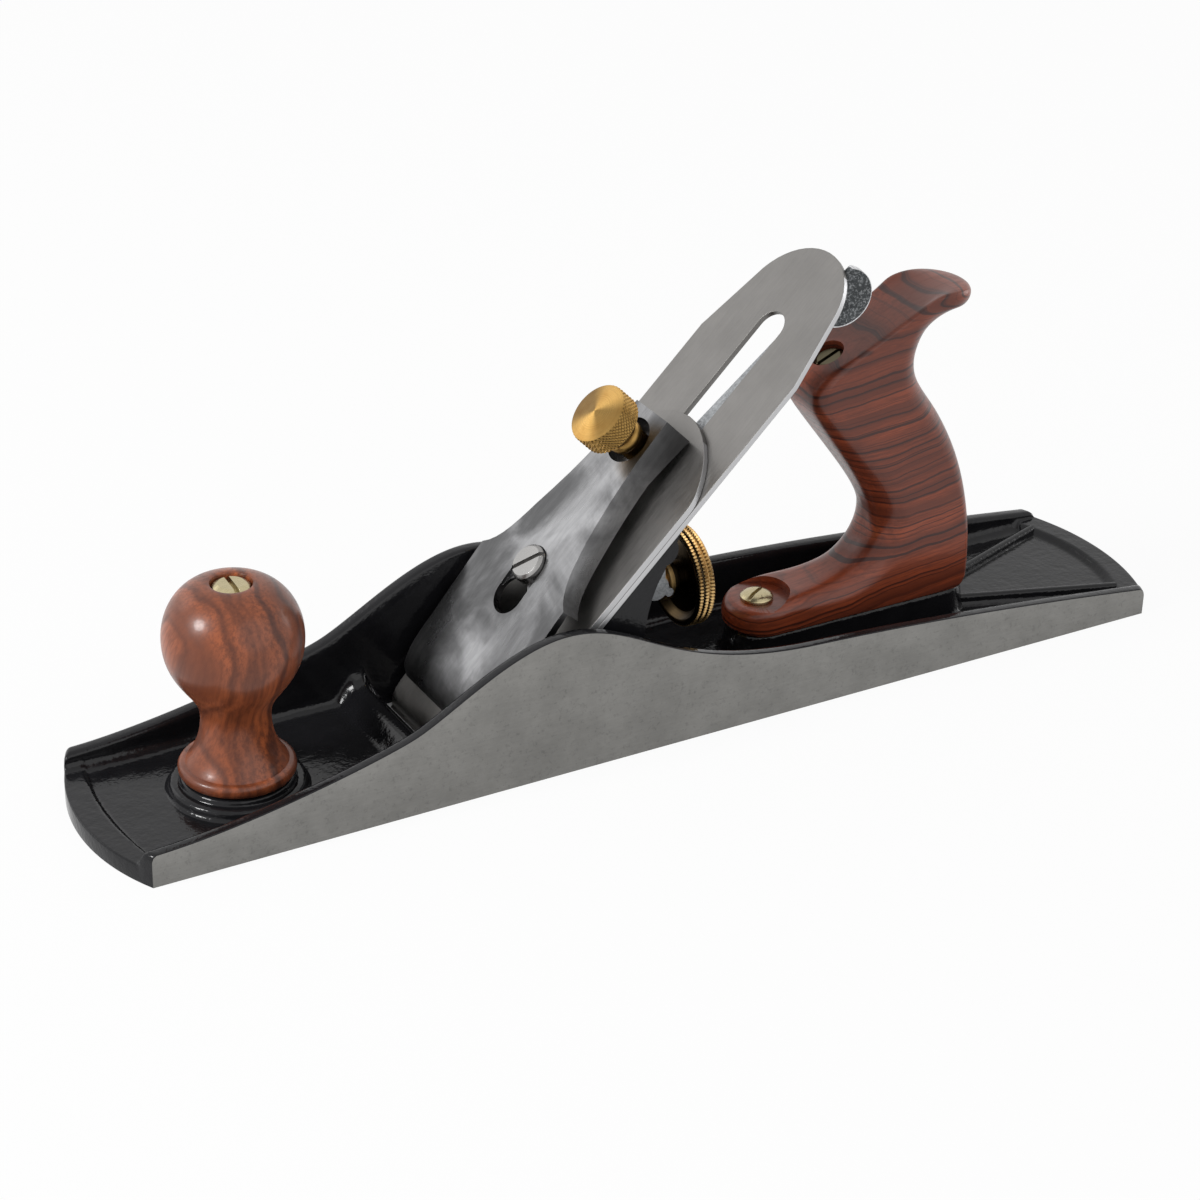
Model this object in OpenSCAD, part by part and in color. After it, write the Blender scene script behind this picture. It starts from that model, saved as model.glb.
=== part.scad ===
// Bench plane of jack size: iron body, sliding frog, bedded cutter with cap iron and lever cap,
// depth wheel with yoke, lateral lever, and a turned knob and shaped tote.
// +X runs from toe to heel, -Y is the plane's left cheek, and the sole lies on Z = 0.

/* [Body casting] */
// Length of the body over its curved ends
body_l = 355; // [350:1:440]
// Width of the body over its machined cheeks
body_w = 64; // [63:0.5:80]
// Thickness of the side walls
wall_t = 4; // [2.5:0.1:4]
// Thickness of the floor
floor_t = 4; // [3:0.1:5]
// Depth of the curve across the toe
toe_sag = 8; // [4:0.5:10]
// Depth of the curve across the heel
heel_sag = 7; // [4:0.5:10]
// Height of the walls at their crest beside the mouth
crest_z = 45.5; // [40:0.5:56]
// Height of the walls at the toe corners
toe_z = 10.3; // [8:0.1:13]
// Height of the walls at the heel corners
heel_z = 7.9; // [7.5:0.1:12]

/* [Mouth and frog] */
// Distance from the toe to the cutting edge
edge_from_toe = 108.1; // [105:0.1:115]
// Open gap of the mouth ahead of the cutting edge
mouth_gap = 2.5; // [2:0.1:4]
// Room beside the iron at each end of the mouth
mouth_side = 2.3; // [2.1:0.1:3]
// Height of the machined seat that carries the frog
seat_z = 12; // [11.5:0.1:13]
// Length of the bed face, from the sole to the frog's top
bed_l = 115; // [114:0.5:122]
// Thickness of the frog's bed plate
bed_t = 6; // [5:0.1:6.5]
// Diameter of the screws that hold the frog down
frog_screw_d = 5.8; // [4:0.1:6.5]
// Travel of the frog each way from the middle of its slots
frog_travel = 1; // [0.5:0.1:1]

/* [Cutting iron] */
// Width of the cutting iron
iron_w = 50.8; // [40:0.1:51]
// Thickness of the cutting iron
iron_t = 1.8; // [1.7:0.1:3]
// Length of the cutting iron
iron_l = 186.5; // [180:0.5:200]
// Width of the long slot in the iron
iron_slot_w = 11; // [10.8:0.1:12]
// Thickness of the cap iron
cap_iron_t = 2; // [1.6:0.1:2]
// Length of the cap iron
cap_iron_l = 123.5; // [120:0.5:130]

/* [Lever cap] */
// Length of the lever cap
lever_cap_l = 106.5; // [104:0.5:108]
// Height of the lever cap's top face over the iron
lever_cap_h = 14.4; // [13.8:0.1:15]
// Diameter of the clamping thumbscrew's head
clamp_head_d = 19.4; // [16:0.2:24]
// Thread diameter of the thumbscrew
clamp_thread_d = 6.4; // [5:0.1:8]
// Head diameter of the screw that holds the lever cap
cap_screw_head_d = 11.6; // [9:0.1:12]

/* [Depth adjustment] */
// Diameter of the knurled depth wheel
wheel_d = 31.4; // [26:0.2:33]
// Width of the depth wheel's rim
wheel_w = 5.8; // [4:0.1:7]
// Height of the wheel's axis over the sole
wheel_z = 36.6; // [35:0.1:38]
// Diameter of the threaded stud that carries the wheel
stud_d = 6; // [4:0.1:7.2]
// Diameter of the pin that the yoke swings on
yoke_pin_d = 3.2; // [2.5:0.1:4]

/* [Lateral adjustment] */
// Diameter of the button that steers the iron
button_d = 10.6; // [9:0.1:10.6]
// Diameter of the lateral lever's pivot pin
lateral_pin_d = 4.4; // [3:0.1:4.8]
// Diameter of the thumb tab
tab_d = 19.2; // [16:0.2:22]

/* [Knob and tote] */
// Distance from the toe to the knob's axis
knob_from_toe = 47.5; // [42:0.5:50]
// Diameter of the knob's ball
knob_d = 40; // [36:0.5:44]
// Height of the knob over its boss
knob_h = 60.8; // [58:0.1:72]
// Diameter of the rod through the knob
knob_rod_d = 6; // [5:0.1:7]
// Distance from the heel to the front of the tote
tote_from_heel = 144.5; // [140:0.5:146]
// Thickness of the tote
tote_w = 23; // [20:0.5:28]
// Height of the seat under the tote
tote_z = 13; // [10:0.5:14]
// Diameter of the rod through the tote
tote_rod_d = 5.6; // [4.5:0.1:6.5]

/* [Hidden] */
$fn = 64;
eps = 0.01;
big = 500;

// Gaps between pieces that slide or turn on each other
face_gap = 0.05;
run_gap = 0.05;
free_gap = 0.4;

// Colours
japan = [0.05, 0.05, 0.055];
steel = [0.62, 0.6, 0.58];
bright = [0.75, 0.75, 0.76];
brass = [0.74, 0.56, 0.27];
rosewood = [0.45, 0.22, 0.15];

// Shared shapes of an outline
function bez(p, n) = [for (i = [0:n]) let (t = i / n, u = 1 - t)
    u * u * u * p[0] + 3 * u * u * t * p[1] + 3 * u * t * t * p[2] + t * t * t * p[3]];
function arc(c, r, a0, a1, n) = [for (i = [0:n]) let (a = a0 + (a1 - a0) * i / n)
    [c[0] + r * cos(a), c[1] + r * sin(a)]];
function tail(list) = [for (i = [1:len(list) - 1]) list[i]];
function mirrored(list) = [for (i = [len(list) - 1:-1:0]) [list[i][0], -list[i][1]]];

// A side view, drawn in X and Z, made w wide across Y
module from_side(w) rotate([90, 0, 0]) translate([0, 0, -w / 2]) linear_extrude(w) children();

// A round bar that starts at x and runs l along X
module bar_x(x, z, d, l) translate([x, 0, z]) rotate([0, 90, 0]) cylinder(d = d, h = l);

// A bar with round ends, standing on z, from x0 to x1
module obround(x0, x1, d, z, h) {
    for (x = [x0, x1]) translate([x, 0, z]) cylinder(d = d, h = h);
    translate([x0, -d / 2, z]) cube([x1 - x0, d, h]);
}

// Reference places along the body
toe_x = -body_l / 2;
heel_x = body_l / 2;
inner_w = body_w - 2 * wall_t;
edge_x = toe_x + edge_from_toe;
knob_x = toe_x + knob_from_toe;
tote_x = heel_x - tote_from_heel;

// The bed frame: X runs up the slope from the cutting edge, Z stands off the iron's upper face
bed_angle = 45;
module on_bed() translate([edge_x, 0, 0]) rotate([0, -bed_angle, 0]) children();
bed_n = -iron_t - face_gap;
function bed_x_at(z, n) = edge_x + z / tan(bed_angle) - n / sin(bed_angle);

// Places up the bed, measured from the cutting edge
edge_lift = 0.2;
lever_screw_s = 60.7;
cap_screw_s = 74;
yoke_s = 88;
button_s = 99.5;
lateral_pin_s = 107.5;
clamp_s = 106.8;
back_travel = 2;
cut_travel = 1;

// Body casting
function wall_profile() = concat(
    [[toe_x, 0]],
    bez([[toe_x, toe_z], [toe_x + 27.5, toe_z - 1.7], [edge_x - 31.6, 20.9], [edge_x - 20.6, 25]], 8),
    tail(bez([[edge_x - 20.6, 25], [edge_x - 8.6, 29.5], [edge_x + 10.4, crest_z],
        [edge_x + 28.4, crest_z]], 10)),
    tail(bez([[edge_x + 28.4, crest_z], [edge_x + 52.4, crest_z], [edge_x + 61.9, 23.5],
        [edge_x + 114.4, 20.8]], 12)),
    tail(bez([[edge_x + 114.4, 20.8], [heel_x - 87.5, 18.5], [heel_x - 47.5, 14.3],
        [heel_x, heel_z]], 8)),
    [[heel_x, 0]]);
module end_cut(x, side, sag) {
    r = (body_w * body_w / 4 + sag * sag) / (2 * sag);
    difference() {
        translate([side > 0 ? x - sag : x - 1, -body_w, -1]) cube([sag + 1, 2 * body_w, 80]);
        translate([x - side * r, 0, -2]) cylinder(r = r, h = 82, $fn = 128);
    }
}
toe_lip_w = 8.3;
toe_lip_z = 5.3;
heel_lip_w = 8;
heel_lip_z = 7;
module end_lips() {
    difference() {
        translate([toe_x, -inner_w / 2 - 1, 0]) cube([toe_lip_w + 5, inner_w + 2, toe_lip_z]);
        translate([toe_x + toe_lip_w + 114, 0, -1]) cylinder(r = 114, h = 20, $fn = 128);
    }
    difference() {
        translate([heel_x - heel_lip_w - 6, -inner_w / 2 - 1, 0])
            cube([heel_lip_w + 6, inner_w + 2, heel_lip_z]);
        translate([heel_x - heel_lip_w - 60, 0, -1]) cylinder(r = 60, h = 20, $fn = 128);
    }
}
knob_boss_z = 8.7;
module knob_boss() translate([knob_x, 0, 0]) {
    cylinder(d = 38.8, h = knob_boss_z - 2);
    cylinder(d = 32.4, h = knob_boss_z);
}
module front_rib() from_side(inner_w + 2) polygon([[edge_x - 17.6, floor_t - 1],
    [edge_x - 17.6, floor_t], [edge_x - 11, 10], [edge_x - 8, 10],
    [edge_x - 4.5, floor_t + 1.5], [edge_x - 4.5, floor_t - 1]]);
seat_w = 34;
seat_x0 = edge_x + 24;
seat_x1 = edge_x + 54.2;
tote_seat_w = 19;
module heel_fan() {
    fan_x = tote_x + 86;
    fan_end = heel_x - heel_lip_w - 2;
    linear_extrude(floor_t + 1.2) polygon([[fan_x - 6, -5], [fan_end, -inner_w / 2 + 4.5],
        [fan_end, inner_w / 2 - 4.5], [fan_x - 6, 5]]);
    for (side = [-1, 1]) translate([fan_x - 4, side * 5, 0])
        rotate([0, 0, side * atan2(inner_w / 2 - 10, fan_end - fan_x + 4)])
            translate([0, -1.5, 0]) cube([fan_end - fan_x + 4, 3, 7.5]);
}
frog_screw_x = edge_x + 33.4;
frog_screw_y = 8;
adjust_z = 8.2;
adjust_d = 5;
tote_screw_x = tote_x + 10.5;
tote_screw_d = 4.8;
tote_lean = 23.4;
tote_rod_x = tote_x + 71;
module on_tote_rod() translate([tote_rod_x, 0, tote_z - 6]) rotate([0, -tote_lean, 0]) children();
module mouth_cut() from_side(iron_w + 2 * mouth_side) polygon([[edge_x - mouth_gap, -1],
    [edge_x - mouth_gap, floor_t - 1], [edge_x - mouth_gap - 4, 12], [bed_x_at(12, bed_n) + 1.4, 12],
    [bed_x_at(-1, bed_n) + 1.4, -1]]);
module sole_body() color(japan) difference() {
    union() {
        difference() {
            union() {
                difference() {
                    from_side(body_w) polygon(wall_profile());
                    translate([-big, -inner_w / 2, floor_t]) cube([2 * big, inner_w, big]);
                }
                end_lips();
            }
            end_cut(toe_x, -1, toe_sag);
            end_cut(heel_x, 1, heel_sag);
        }
        knob_boss();
        difference() {
            front_rib();
            mouth_cut();
        }
        translate([seat_x0, -seat_w / 2, 0]) cube([seat_x1 - seat_x0, seat_w, seat_z]);
        obround(tote_x + 11, tote_x + 76, tote_seat_w, 1, tote_z - 1);
        heel_fan();
    }
    intersection() {
        mouth_cut();
        translate([-big, -big, -1]) cube([2 * big, 2 * big, floor_t + 1 + eps]);
    }
    for (side = [-1, 1])
        translate([frog_screw_x, side * frog_screw_y, 3]) cylinder(d = frog_screw_d, h = 20);
    bar_x(seat_x1 - 26, adjust_z, adjust_d + 2 * run_gap, 40);
    translate([knob_x, 0, 2]) cylinder(d = knob_rod_d, h = 20);
    translate([tote_screw_x, 0, 4]) cylinder(d = tote_screw_d, h = 20);
    on_tote_rod() translate([0, 0, -4]) cylinder(d = tote_rod_d, h = 20);
}

// Frog: bed plate with webs, base, stud boss and yoke ears
frog_w = iron_w - 2;
frog_base_z0 = seat_z + face_gap;
frog_base_z1 = frog_base_z0 + 4.4;
frog_rear_x = seat_x1 + 2.7;
frog_toe_z = floor_t + 0.25;
yoke_n = -12.66;
yoke_x = edge_x + (yoke_s - yoke_n) * cos(bed_angle);
yoke_z = (yoke_s + yoke_n) * sin(bed_angle);
ear_y0 = 8.8;
ear_t = 4;
ear_d = 9.6;
stud_x0 = edge_x + 48;
boss_x1 = edge_x + 68.4;
boss_d = 12.6;
lever_n0 = bed_n - 1.85;
screw_play = frog_travel + 0.2;
side_end_s = 96;
side_web_t = 5;
core_w = 29;
module frog_bed() {
    on_bed() translate([0, -core_w / 2, bed_n - bed_t]) cube([bed_l, core_w, bed_t]);
    on_bed() from_side(frog_w) polygon([[0, bed_n - bed_t + 0.4], [80, bed_n - bed_t + 0.4],
        [side_end_s - 5, bed_n - 2.6], [side_end_s, bed_n - 0.4], [side_end_s, bed_n], [0, bed_n]]);
    on_bed() for (side = [-1, 1])
        translate([yoke_s - ear_d / 2 + 0.8, side * (ear_y0 + ear_t / 2) - ear_t / 2 + 0.3, yoke_n])
            cube([ear_d - 1.6, ear_t - 0.6, bed_n - yoke_n - 1]);
    for (side = [-1, 1]) translate([yoke_x, side > 0 ? ear_y0 + ear_t : -ear_y0, yoke_z])
        rotate([90, 0, 0]) cylinder(d = ear_d, h = ear_t);
}
module frog_webs() {
    for (side = [-1, 1]) translate([0, side * (frog_w - side_web_t - 0.6) / 2, 0])
        from_side(side_web_t) polygon(concat(
            [[bed_x_at(frog_base_z0, bed_n - 1), frog_base_z0], [frog_rear_x, frog_base_z0]],
            bez([[frog_rear_x, frog_base_z1], [frog_rear_x + 1.4, 30], [frog_rear_x + 0.6, 44],
                [frog_rear_x + 7.6, 54.3]], 8),
            [[frog_rear_x + 10.1, 61.4], [bed_x_at(61.4, bed_n - 1), 61.4]]));
    from_side(8) polygon([[frog_rear_x - 9, frog_base_z0], [frog_rear_x, frog_base_z0],
        [frog_rear_x, frog_base_z1 + 8], [boss_x1, wheel_z - 5], [boss_x1, wheel_z], [stud_x0, wheel_z]]);
}
module frog() color(japan) difference() {
    union() {
        frog_bed();
        frog_webs();
        from_side(frog_w - 1.2) polygon([[bed_x_at(frog_base_z0, bed_n - 1), frog_base_z0],
            [frog_rear_x, frog_base_z0], [frog_rear_x, frog_base_z1],
            [bed_x_at(frog_base_z1, bed_n - 1), frog_base_z1]]);
        from_side(frog_w - 8) polygon([[bed_x_at(frog_toe_z, bed_n - 1), frog_toe_z],
            [seat_x0 - frog_travel - 0.4, frog_toe_z], [seat_x0 - frog_travel - 0.4, frog_base_z1],
            [bed_x_at(frog_base_z1, bed_n - 1), frog_base_z1]]);
        bar_x(stud_x0, wheel_z, boss_d, boss_x1 - stud_x0);
    }
    on_bed() translate([-20, -big / 2, bed_n]) cube([bed_l + 40, big, big]);
    translate([-big, -big, frog_toe_z - 20]) cube([2 * big, 2 * big, 20]);
    translate([seat_x0 - frog_travel - 0.4, -big, frog_toe_z - 1])
        cube([seat_x1 - seat_x0 + 20, 2 * big, frog_base_z0 - frog_toe_z + 1]);
    for (side = [-1, 1]) translate([frog_screw_x, side * frog_screw_y, 0]) {
        obround(-screw_play, screw_play, frog_screw_d + 0.6, 0, 40);
        obround(-screw_play, screw_play, 11, frog_base_z1, 40);
    }
    bar_x(stud_x0 + 6, wheel_z, stud_d, 60);
    translate([yoke_x, 30, yoke_z]) rotate([90, 0, 0]) cylinder(d = yoke_pin_d, h = 60);
    on_bed() {
        translate([lever_screw_s, 0, bed_n - bed_t - 0.5]) cylinder(d = lever_screw_d, h = 30);
        translate([cap_screw_s - cut_travel - 7.4, -8, bed_n - 3.2])
            cube([14.8 + back_travel + cut_travel, 16, 10]);
        translate([yoke_s - 6.3, -3.6, -30]) cube([12.6, 7.2, 60]);
        translate([button_s - 7, -9.2, lever_n0 - face_gap]) cube([40, 18.4, 10]);
        translate([lateral_pin_s, 0, bed_n - bed_t - 1]) cylinder(d = lateral_pin_d, h = 20);
    }
    bar_x(frog_rear_x - 7, clip_hole_z, clip_screw_d, 10);
}

// Frog fasteners and adjuster
washer_t = 1;
module frog_screws() color(steel) for (side = [-1, 1])
    translate([frog_screw_x, side * frog_screw_y, 0]) difference() {
        union() {
            translate([0, 0, 4]) cylinder(d = frog_screw_d, h = frog_base_z1 + washer_t - 3);
            translate([0, 0, frog_base_z1 + washer_t + face_gap]) cylinder(d = 8.6, h = 3.2);
        }
        translate([-6, -0.6, frog_base_z1 + washer_t + 1.8]) cube([12, 1.2, 4]);
    }
module frog_screw_washers() color(steel) for (side = [-1, 1])
    translate([frog_screw_x, side * frog_screw_y, frog_base_z1 + face_gap]) difference() {
        cylinder(d = 9.4, h = washer_t);
        translate([0, 0, -1]) cylinder(d = frog_screw_d, h = 4);
    }
clip_x = frog_rear_x;
clip_t = 1.2;
clip_w = 13;
clip_hole_z = frog_base_z1 + 2.5;
clip_screw_d = 3;
neck_d = adjust_d - 0.8;
module frog_adjust_clip() color(steel) difference() {
    translate([clip_x, -clip_w / 2, adjust_z - 2.8])
        cube([clip_t, clip_w, clip_hole_z + 6.8 - adjust_z]);
    bar_x(clip_x - 1, adjust_z, neck_d + 2 * run_gap, clip_t + 2);
    translate([clip_x - 1, -neck_d / 2 - run_gap, 0]) cube([clip_t + 2, neck_d + 2 * run_gap, adjust_z]);
    bar_x(clip_x - 1, clip_hole_z, clip_screw_d, clip_t + 2);
}
module frog_clip_screw() color(steel) difference() {
    union() {
        bar_x(clip_x - 6, clip_hole_z, clip_screw_d, 6 + clip_t + 1);
        bar_x(clip_x + clip_t, clip_hole_z, 6, 1.8);
    }
    translate([clip_x + clip_t + 1, -0.4, clip_hole_z - 4]) cube([2, 0.8, 8]);
}
module frog_adjust_screw() color(steel) difference() {
    union() {
        bar_x(clip_x - 24, adjust_z, adjust_d, 24 - 1.2);
        bar_x(clip_x - 1.3, adjust_z, neck_d, clip_t + 3);
        bar_x(clip_x - 1.3, adjust_z, 7, 1.2);
        bar_x(clip_x + clip_t + 0.1, adjust_z, 7.6, 3.6);
    }
    translate([clip_x + clip_t + 2.5, -0.5, adjust_z - 5]) cube([2, 1, 10]);
}

// Depth adjustment: stud, grooved hub, knurled wheel and yoke
groove_x = edge_x + 76.2;
groove_w = 3.6;
hub_core_d = 9.2;
hub_flange_d = 12.4;
hub_collar_d = 11.4;
hub_x0 = groove_x - groove_w / 2 - 1.4;
wheel_x0 = edge_x + 82.3;
web_x0 = wheel_x0 + 1.7;
stud_x1 = wheel_x0 + wheel_w + 6;
module depth_stud() color(steel) bar_x(stud_x0 + 6, wheel_z, stud_d, stud_x1 - stud_x0 - 6);
module depth_hub() color(brass) difference() {
    union() {
        bar_x(hub_x0, wheel_z, hub_collar_d, 1.4);
        bar_x(groove_x + groove_w / 2, wheel_z, hub_flange_d, 3.3);
        bar_x(hub_x0, wheel_z, hub_core_d, wheel_x0 + wheel_w - hub_x0);
    }
    bar_x(hub_x0 - 1, wheel_z, stud_d + 2 * run_gap, 40);
}
module depth_wheel() color(brass) difference() {
    bar_x(wheel_x0, wheel_z, wheel_d, wheel_w);
    bar_x(wheel_x0 - 1, wheel_z, wheel_d - 5.4, web_x0 - wheel_x0 + 1);
    bar_x(wheel_x0 - 1, wheel_z, hub_core_d + 2 * run_gap, 40);
    for (k = [1, 2]) difference() {
        bar_x(wheel_x0 + k * wheel_w / 3 - 0.3, wheel_z, wheel_d + 2, 0.6);
        bar_x(wheel_x0, wheel_z, wheel_d - 1.4, wheel_w);
    }
}
lobe_d = 2.8;
arm_y0 = 6.6;
arm_t = 1.8;
arm_h = 5.6;
arm_end_d = 7.8;
arm_end_x = groove_x - 4.3;
arm_end_z = wheel_z + 2.3;
yoke_barrel_d = 7.2;
yoke_tip_n = 1.1;
yoke_tip_d = 5.6;
yoke_tip_w = 5.2;
arm_angle = atan2(yoke_z - arm_end_z, arm_end_x - yoke_x);
arm_l = norm([yoke_z - arm_end_z, arm_end_x - yoke_x]);
toe_angle = atan2(arm_end_z - wheel_z, groove_x - arm_end_x);
toe_l = norm([arm_end_z - wheel_z, groove_x - arm_end_x]);
module yoke_lever() color(steel) difference() {
    union() {
        translate([yoke_x, 0, yoke_z]) rotate([90, 0, 0])
            translate([0, 0, -arm_y0 - arm_t]) cylinder(d = yoke_barrel_d, h = 2 * (arm_y0 + arm_t));
        on_bed() {
            translate([yoke_s - 2.1, -yoke_tip_w / 2, yoke_n]) cube([4.2, yoke_tip_w, yoke_tip_n - yoke_n]);
            translate([yoke_s, yoke_tip_w / 2, yoke_tip_n]) rotate([90, 0, 0])
                cylinder(d = yoke_tip_d, h = yoke_tip_w);
        }
        for (side = [-1, 1]) {
            translate([yoke_x, side > 0 ? arm_y0 : -arm_y0 - arm_t, yoke_z]) rotate([0, arm_angle, 0])
                translate([0, 0, -arm_h / 2]) cube([arm_l, arm_t, arm_h]);
            translate([arm_end_x, side > 0 ? arm_y0 + arm_t : -arm_y0, arm_end_z])
                rotate([90, 0, 0]) cylinder(d = arm_end_d, h = arm_t);
            translate([arm_end_x, side * (arm_y0 + arm_t / 2), arm_end_z]) rotate([0, toe_angle, 0])
                translate([0, -arm_t / 2 + 0.2, -lobe_d / 2 + 0.2]) cube([toe_l, arm_t - 0.4, lobe_d - 0.4]);
            translate([groove_x, side > 0 ? arm_y0 + arm_t - 0.1 : -hub_core_d / 2 - free_gap, wheel_z])
                rotate([90, 0, 0]) cylinder(d = lobe_d, h = arm_y0 + arm_t - 0.1 - hub_core_d / 2 - free_gap);
        }
    }
    translate([yoke_x, 30, yoke_z]) rotate([90, 0, 0]) cylinder(d = yoke_pin_d + 2 * run_gap, h = 60);
}
module yoke_pin() color(steel) translate([yoke_x, ear_y0 + ear_t, yoke_z]) rotate([90, 0, 0])
    cylinder(d = yoke_pin_d, h = 2 * (ear_y0 + ear_t));

// Lateral adjustment: stamped lever, steering button and pivot
lever_t = 1.75;
lever_lean = 6.8;
strip_w = 5;
strip_end_s = 176;
tab_s = 179;
tab_n = -6.8;
tab_t = 2.4;
module on_arm() translate([lateral_pin_s, 0, 0]) rotate([0, 0, -lever_lean]) children();
module lateral_lever() color(steel) difference() {
    on_bed() {
        translate([0, 0, lever_n0]) {
            translate([lateral_pin_s, 0, 0]) cylinder(r = 6, h = lever_t);
            translate([button_s, 0, 0]) cylinder(r = 4.4, h = lever_t);
            translate([button_s, -4.4, 0]) cube([lateral_pin_s - button_s, 8.8, lever_t]);
            on_arm() translate([0, -strip_w / 2, 0]) cube([strip_end_s - lateral_pin_s, strip_w, lever_t]);
        }
        on_arm() intersection() {
            translate([tab_s - lateral_pin_s, tab_t / 2, tab_n]) rotate([90, 0, 0])
                cylinder(d = tab_d, h = tab_t);
            translate([0, -5, lever_n0 - 40]) cube([100, 10, 40 + lever_t]);
        }
    }
    on_bed() translate([lateral_pin_s, 0, -40]) cylinder(d = lateral_pin_d + 2 * run_gap, h = 60);
    on_bed() translate([button_s, 0, -40]) cylinder(d = 3, h = 60);
}
module lateral_button() color(steel) on_bed() translate([button_s, 0, 0]) {
    translate([0, 0, lever_n0 + lever_t]) cylinder(d = button_d, h = iron_t - 0.1);
    translate([0, 0, lever_n0]) cylinder(d = 3, h = lever_t);
}
module lateral_pivot_pin() color(steel) on_bed() translate([lateral_pin_s, 0, bed_n - bed_t])
    cylinder(d = lateral_pin_d, h = bed_t - 0.05);

// Cutting iron, cap iron and the screw that joins them
cap_screw_d = 7.8;
cap_n0 = face_gap;
cap_n1 = cap_n0 + cap_iron_t;
module cap_iron_screw() color(steel) on_bed() translate([cap_screw_s, 0, 0]) difference() {
    union() {
        translate([0, 0, bed_n - 2.6]) cylinder(d = 12.4, h = 2.6);
        translate([0, 0, bed_n - 1]) cylinder(d = cap_screw_d, h = cap_n1 - bed_n + 1.4);
    }
    translate([-8, -0.7, bed_n - 4]) cube([16, 1.4, 2.4]);
}
function iron_outline() = let (half = concat([[edge_lift, iron_w / 2], [148, iron_w / 2]],
    arc([iron_l - 20.5, 0], 20.5, 72, 0, 10))) concat(half, mirrored(half));
bevel_l = iron_t / tan(25);
module cutting_iron() color(steel) on_bed() difference() {
    intersection() {
        translate([0, 0, -iron_t]) linear_extrude(iron_t) polygon(iron_outline());
        from_side(iron_w + 2) polygon([[edge_lift, 0], [iron_l + 1, 0], [iron_l + 1, -iron_t],
            [edge_lift + bevel_l, -iron_t]]);
    }
    translate([0, 0, -iron_t - 1]) {
        obround(46, 163.8 - iron_slot_w / 2, iron_slot_w, 0, iron_t + 2);
        translate([46, 0, 0]) cylinder(d = 14.6, h = iron_t + 2);
    }
}
cap_round = 13;
function cap_outline() = let (half = concat([[18, iron_w / 2]],
    arc([cap_iron_l - 22.5, iron_w / 2 - cap_round], cap_round, 90, 62, 4),
    tail(bez([[cap_iron_l - 16.4, iron_w / 2 - 1.5], [cap_iron_l - 7, iron_w / 2 - 6.5],
        [cap_iron_l, iron_w / 2 - 16], [cap_iron_l, 0]], 8)))) concat(half, mirrored(half));
hump_n = cap_n0 + 3.55;
module cap_iron() color(steel) on_bed() difference() {
    union() {
        translate([0, 0, cap_n0]) linear_extrude(cap_iron_t) polygon(cap_outline());
        from_side(iron_w) polygon(concat(
            bez([[1.2, cap_n0], [2.5, cap_n0 + 2.2], [6, hump_n], [11.5, hump_n]], 8),
            tail(bez([[11.5, hump_n], [17, hump_n], [18.5, cap_n1], [24, cap_n1]], 8)),
            bez([[24, cap_n0], [18, cap_n0], [17, hump_n - 1.5], [11.5, hump_n - 1.5]], 8),
            tail(bez([[11.5, hump_n - 1.5], [8, hump_n - 1.5], [4.4, cap_n0 + 1.6], [2.4, cap_n0]], 8))));
    }
    obround(lever_screw_s - back_travel - 0.5, lever_screw_s + cut_travel + 0.5, 9, -1, 20);
    translate([cap_screw_s, 0, -1]) cylinder(d = cap_screw_d + 2 * run_gap, h = 20);
    translate([yoke_s - yoke_tip_d / 2 - 0.2, -yoke_tip_w / 2 - 0.8, -1])
        cube([yoke_tip_d + 0.4, yoke_tip_w + 1.6, 20]);
}

// Lever cap with its keyhole, its holding screw and the clamping thumbscrew
lever_tip_s = 11;
lever_top_s = lever_tip_s + lever_cap_l;
lever_half = iron_w / 2 - 0.8;
lever_tip_n = hump_n + face_gap;
keyhole_s = 50;
keyhole_d = 12.2;
seat_n = lever_cap_h - 5;
screw_seat_n = lever_cap_h - 2.6;
shoulder_s = 56.6;
function lever_half_outline(inset) = concat(
    [[lever_tip_s, lever_half - 2 - inset], [lever_tip_s + 2, lever_half - inset],
        [shoulder_s, lever_half - inset]],
    tail(bez([[shoulder_s, lever_half - inset], [60.5, lever_half - 6.4 - inset], [68, 16.4 - inset],
        [82, 13 - inset]], 8)),
    tail(bez([[82, 13 - inset], [94, 10.2 - inset], [104, 9.2 - inset], [lever_top_s, 8.6 - inset]], 5)));
module lever_prism(inset) linear_extrude(40)
    polygon(concat(lever_half_outline(inset), mirrored(lever_half_outline(inset))));
function lever_top(drop) = concat(
    [[lever_tip_s, lever_tip_n + 1.2 - drop]],
    bez([[lever_tip_s, lever_tip_n + 1.2 - drop], [13, 7.6 - drop], [18, 9.6 - drop],
        [24, 10.2 - drop]], 6),
    tail(bez([[24, 10.2 - drop], [40, lever_cap_h - 3 - drop], [52, lever_cap_h - 0.9 - drop],
        [76, lever_cap_h - drop]], 8)),
    [[lever_top_s, lever_cap_h - drop]]);
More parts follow.
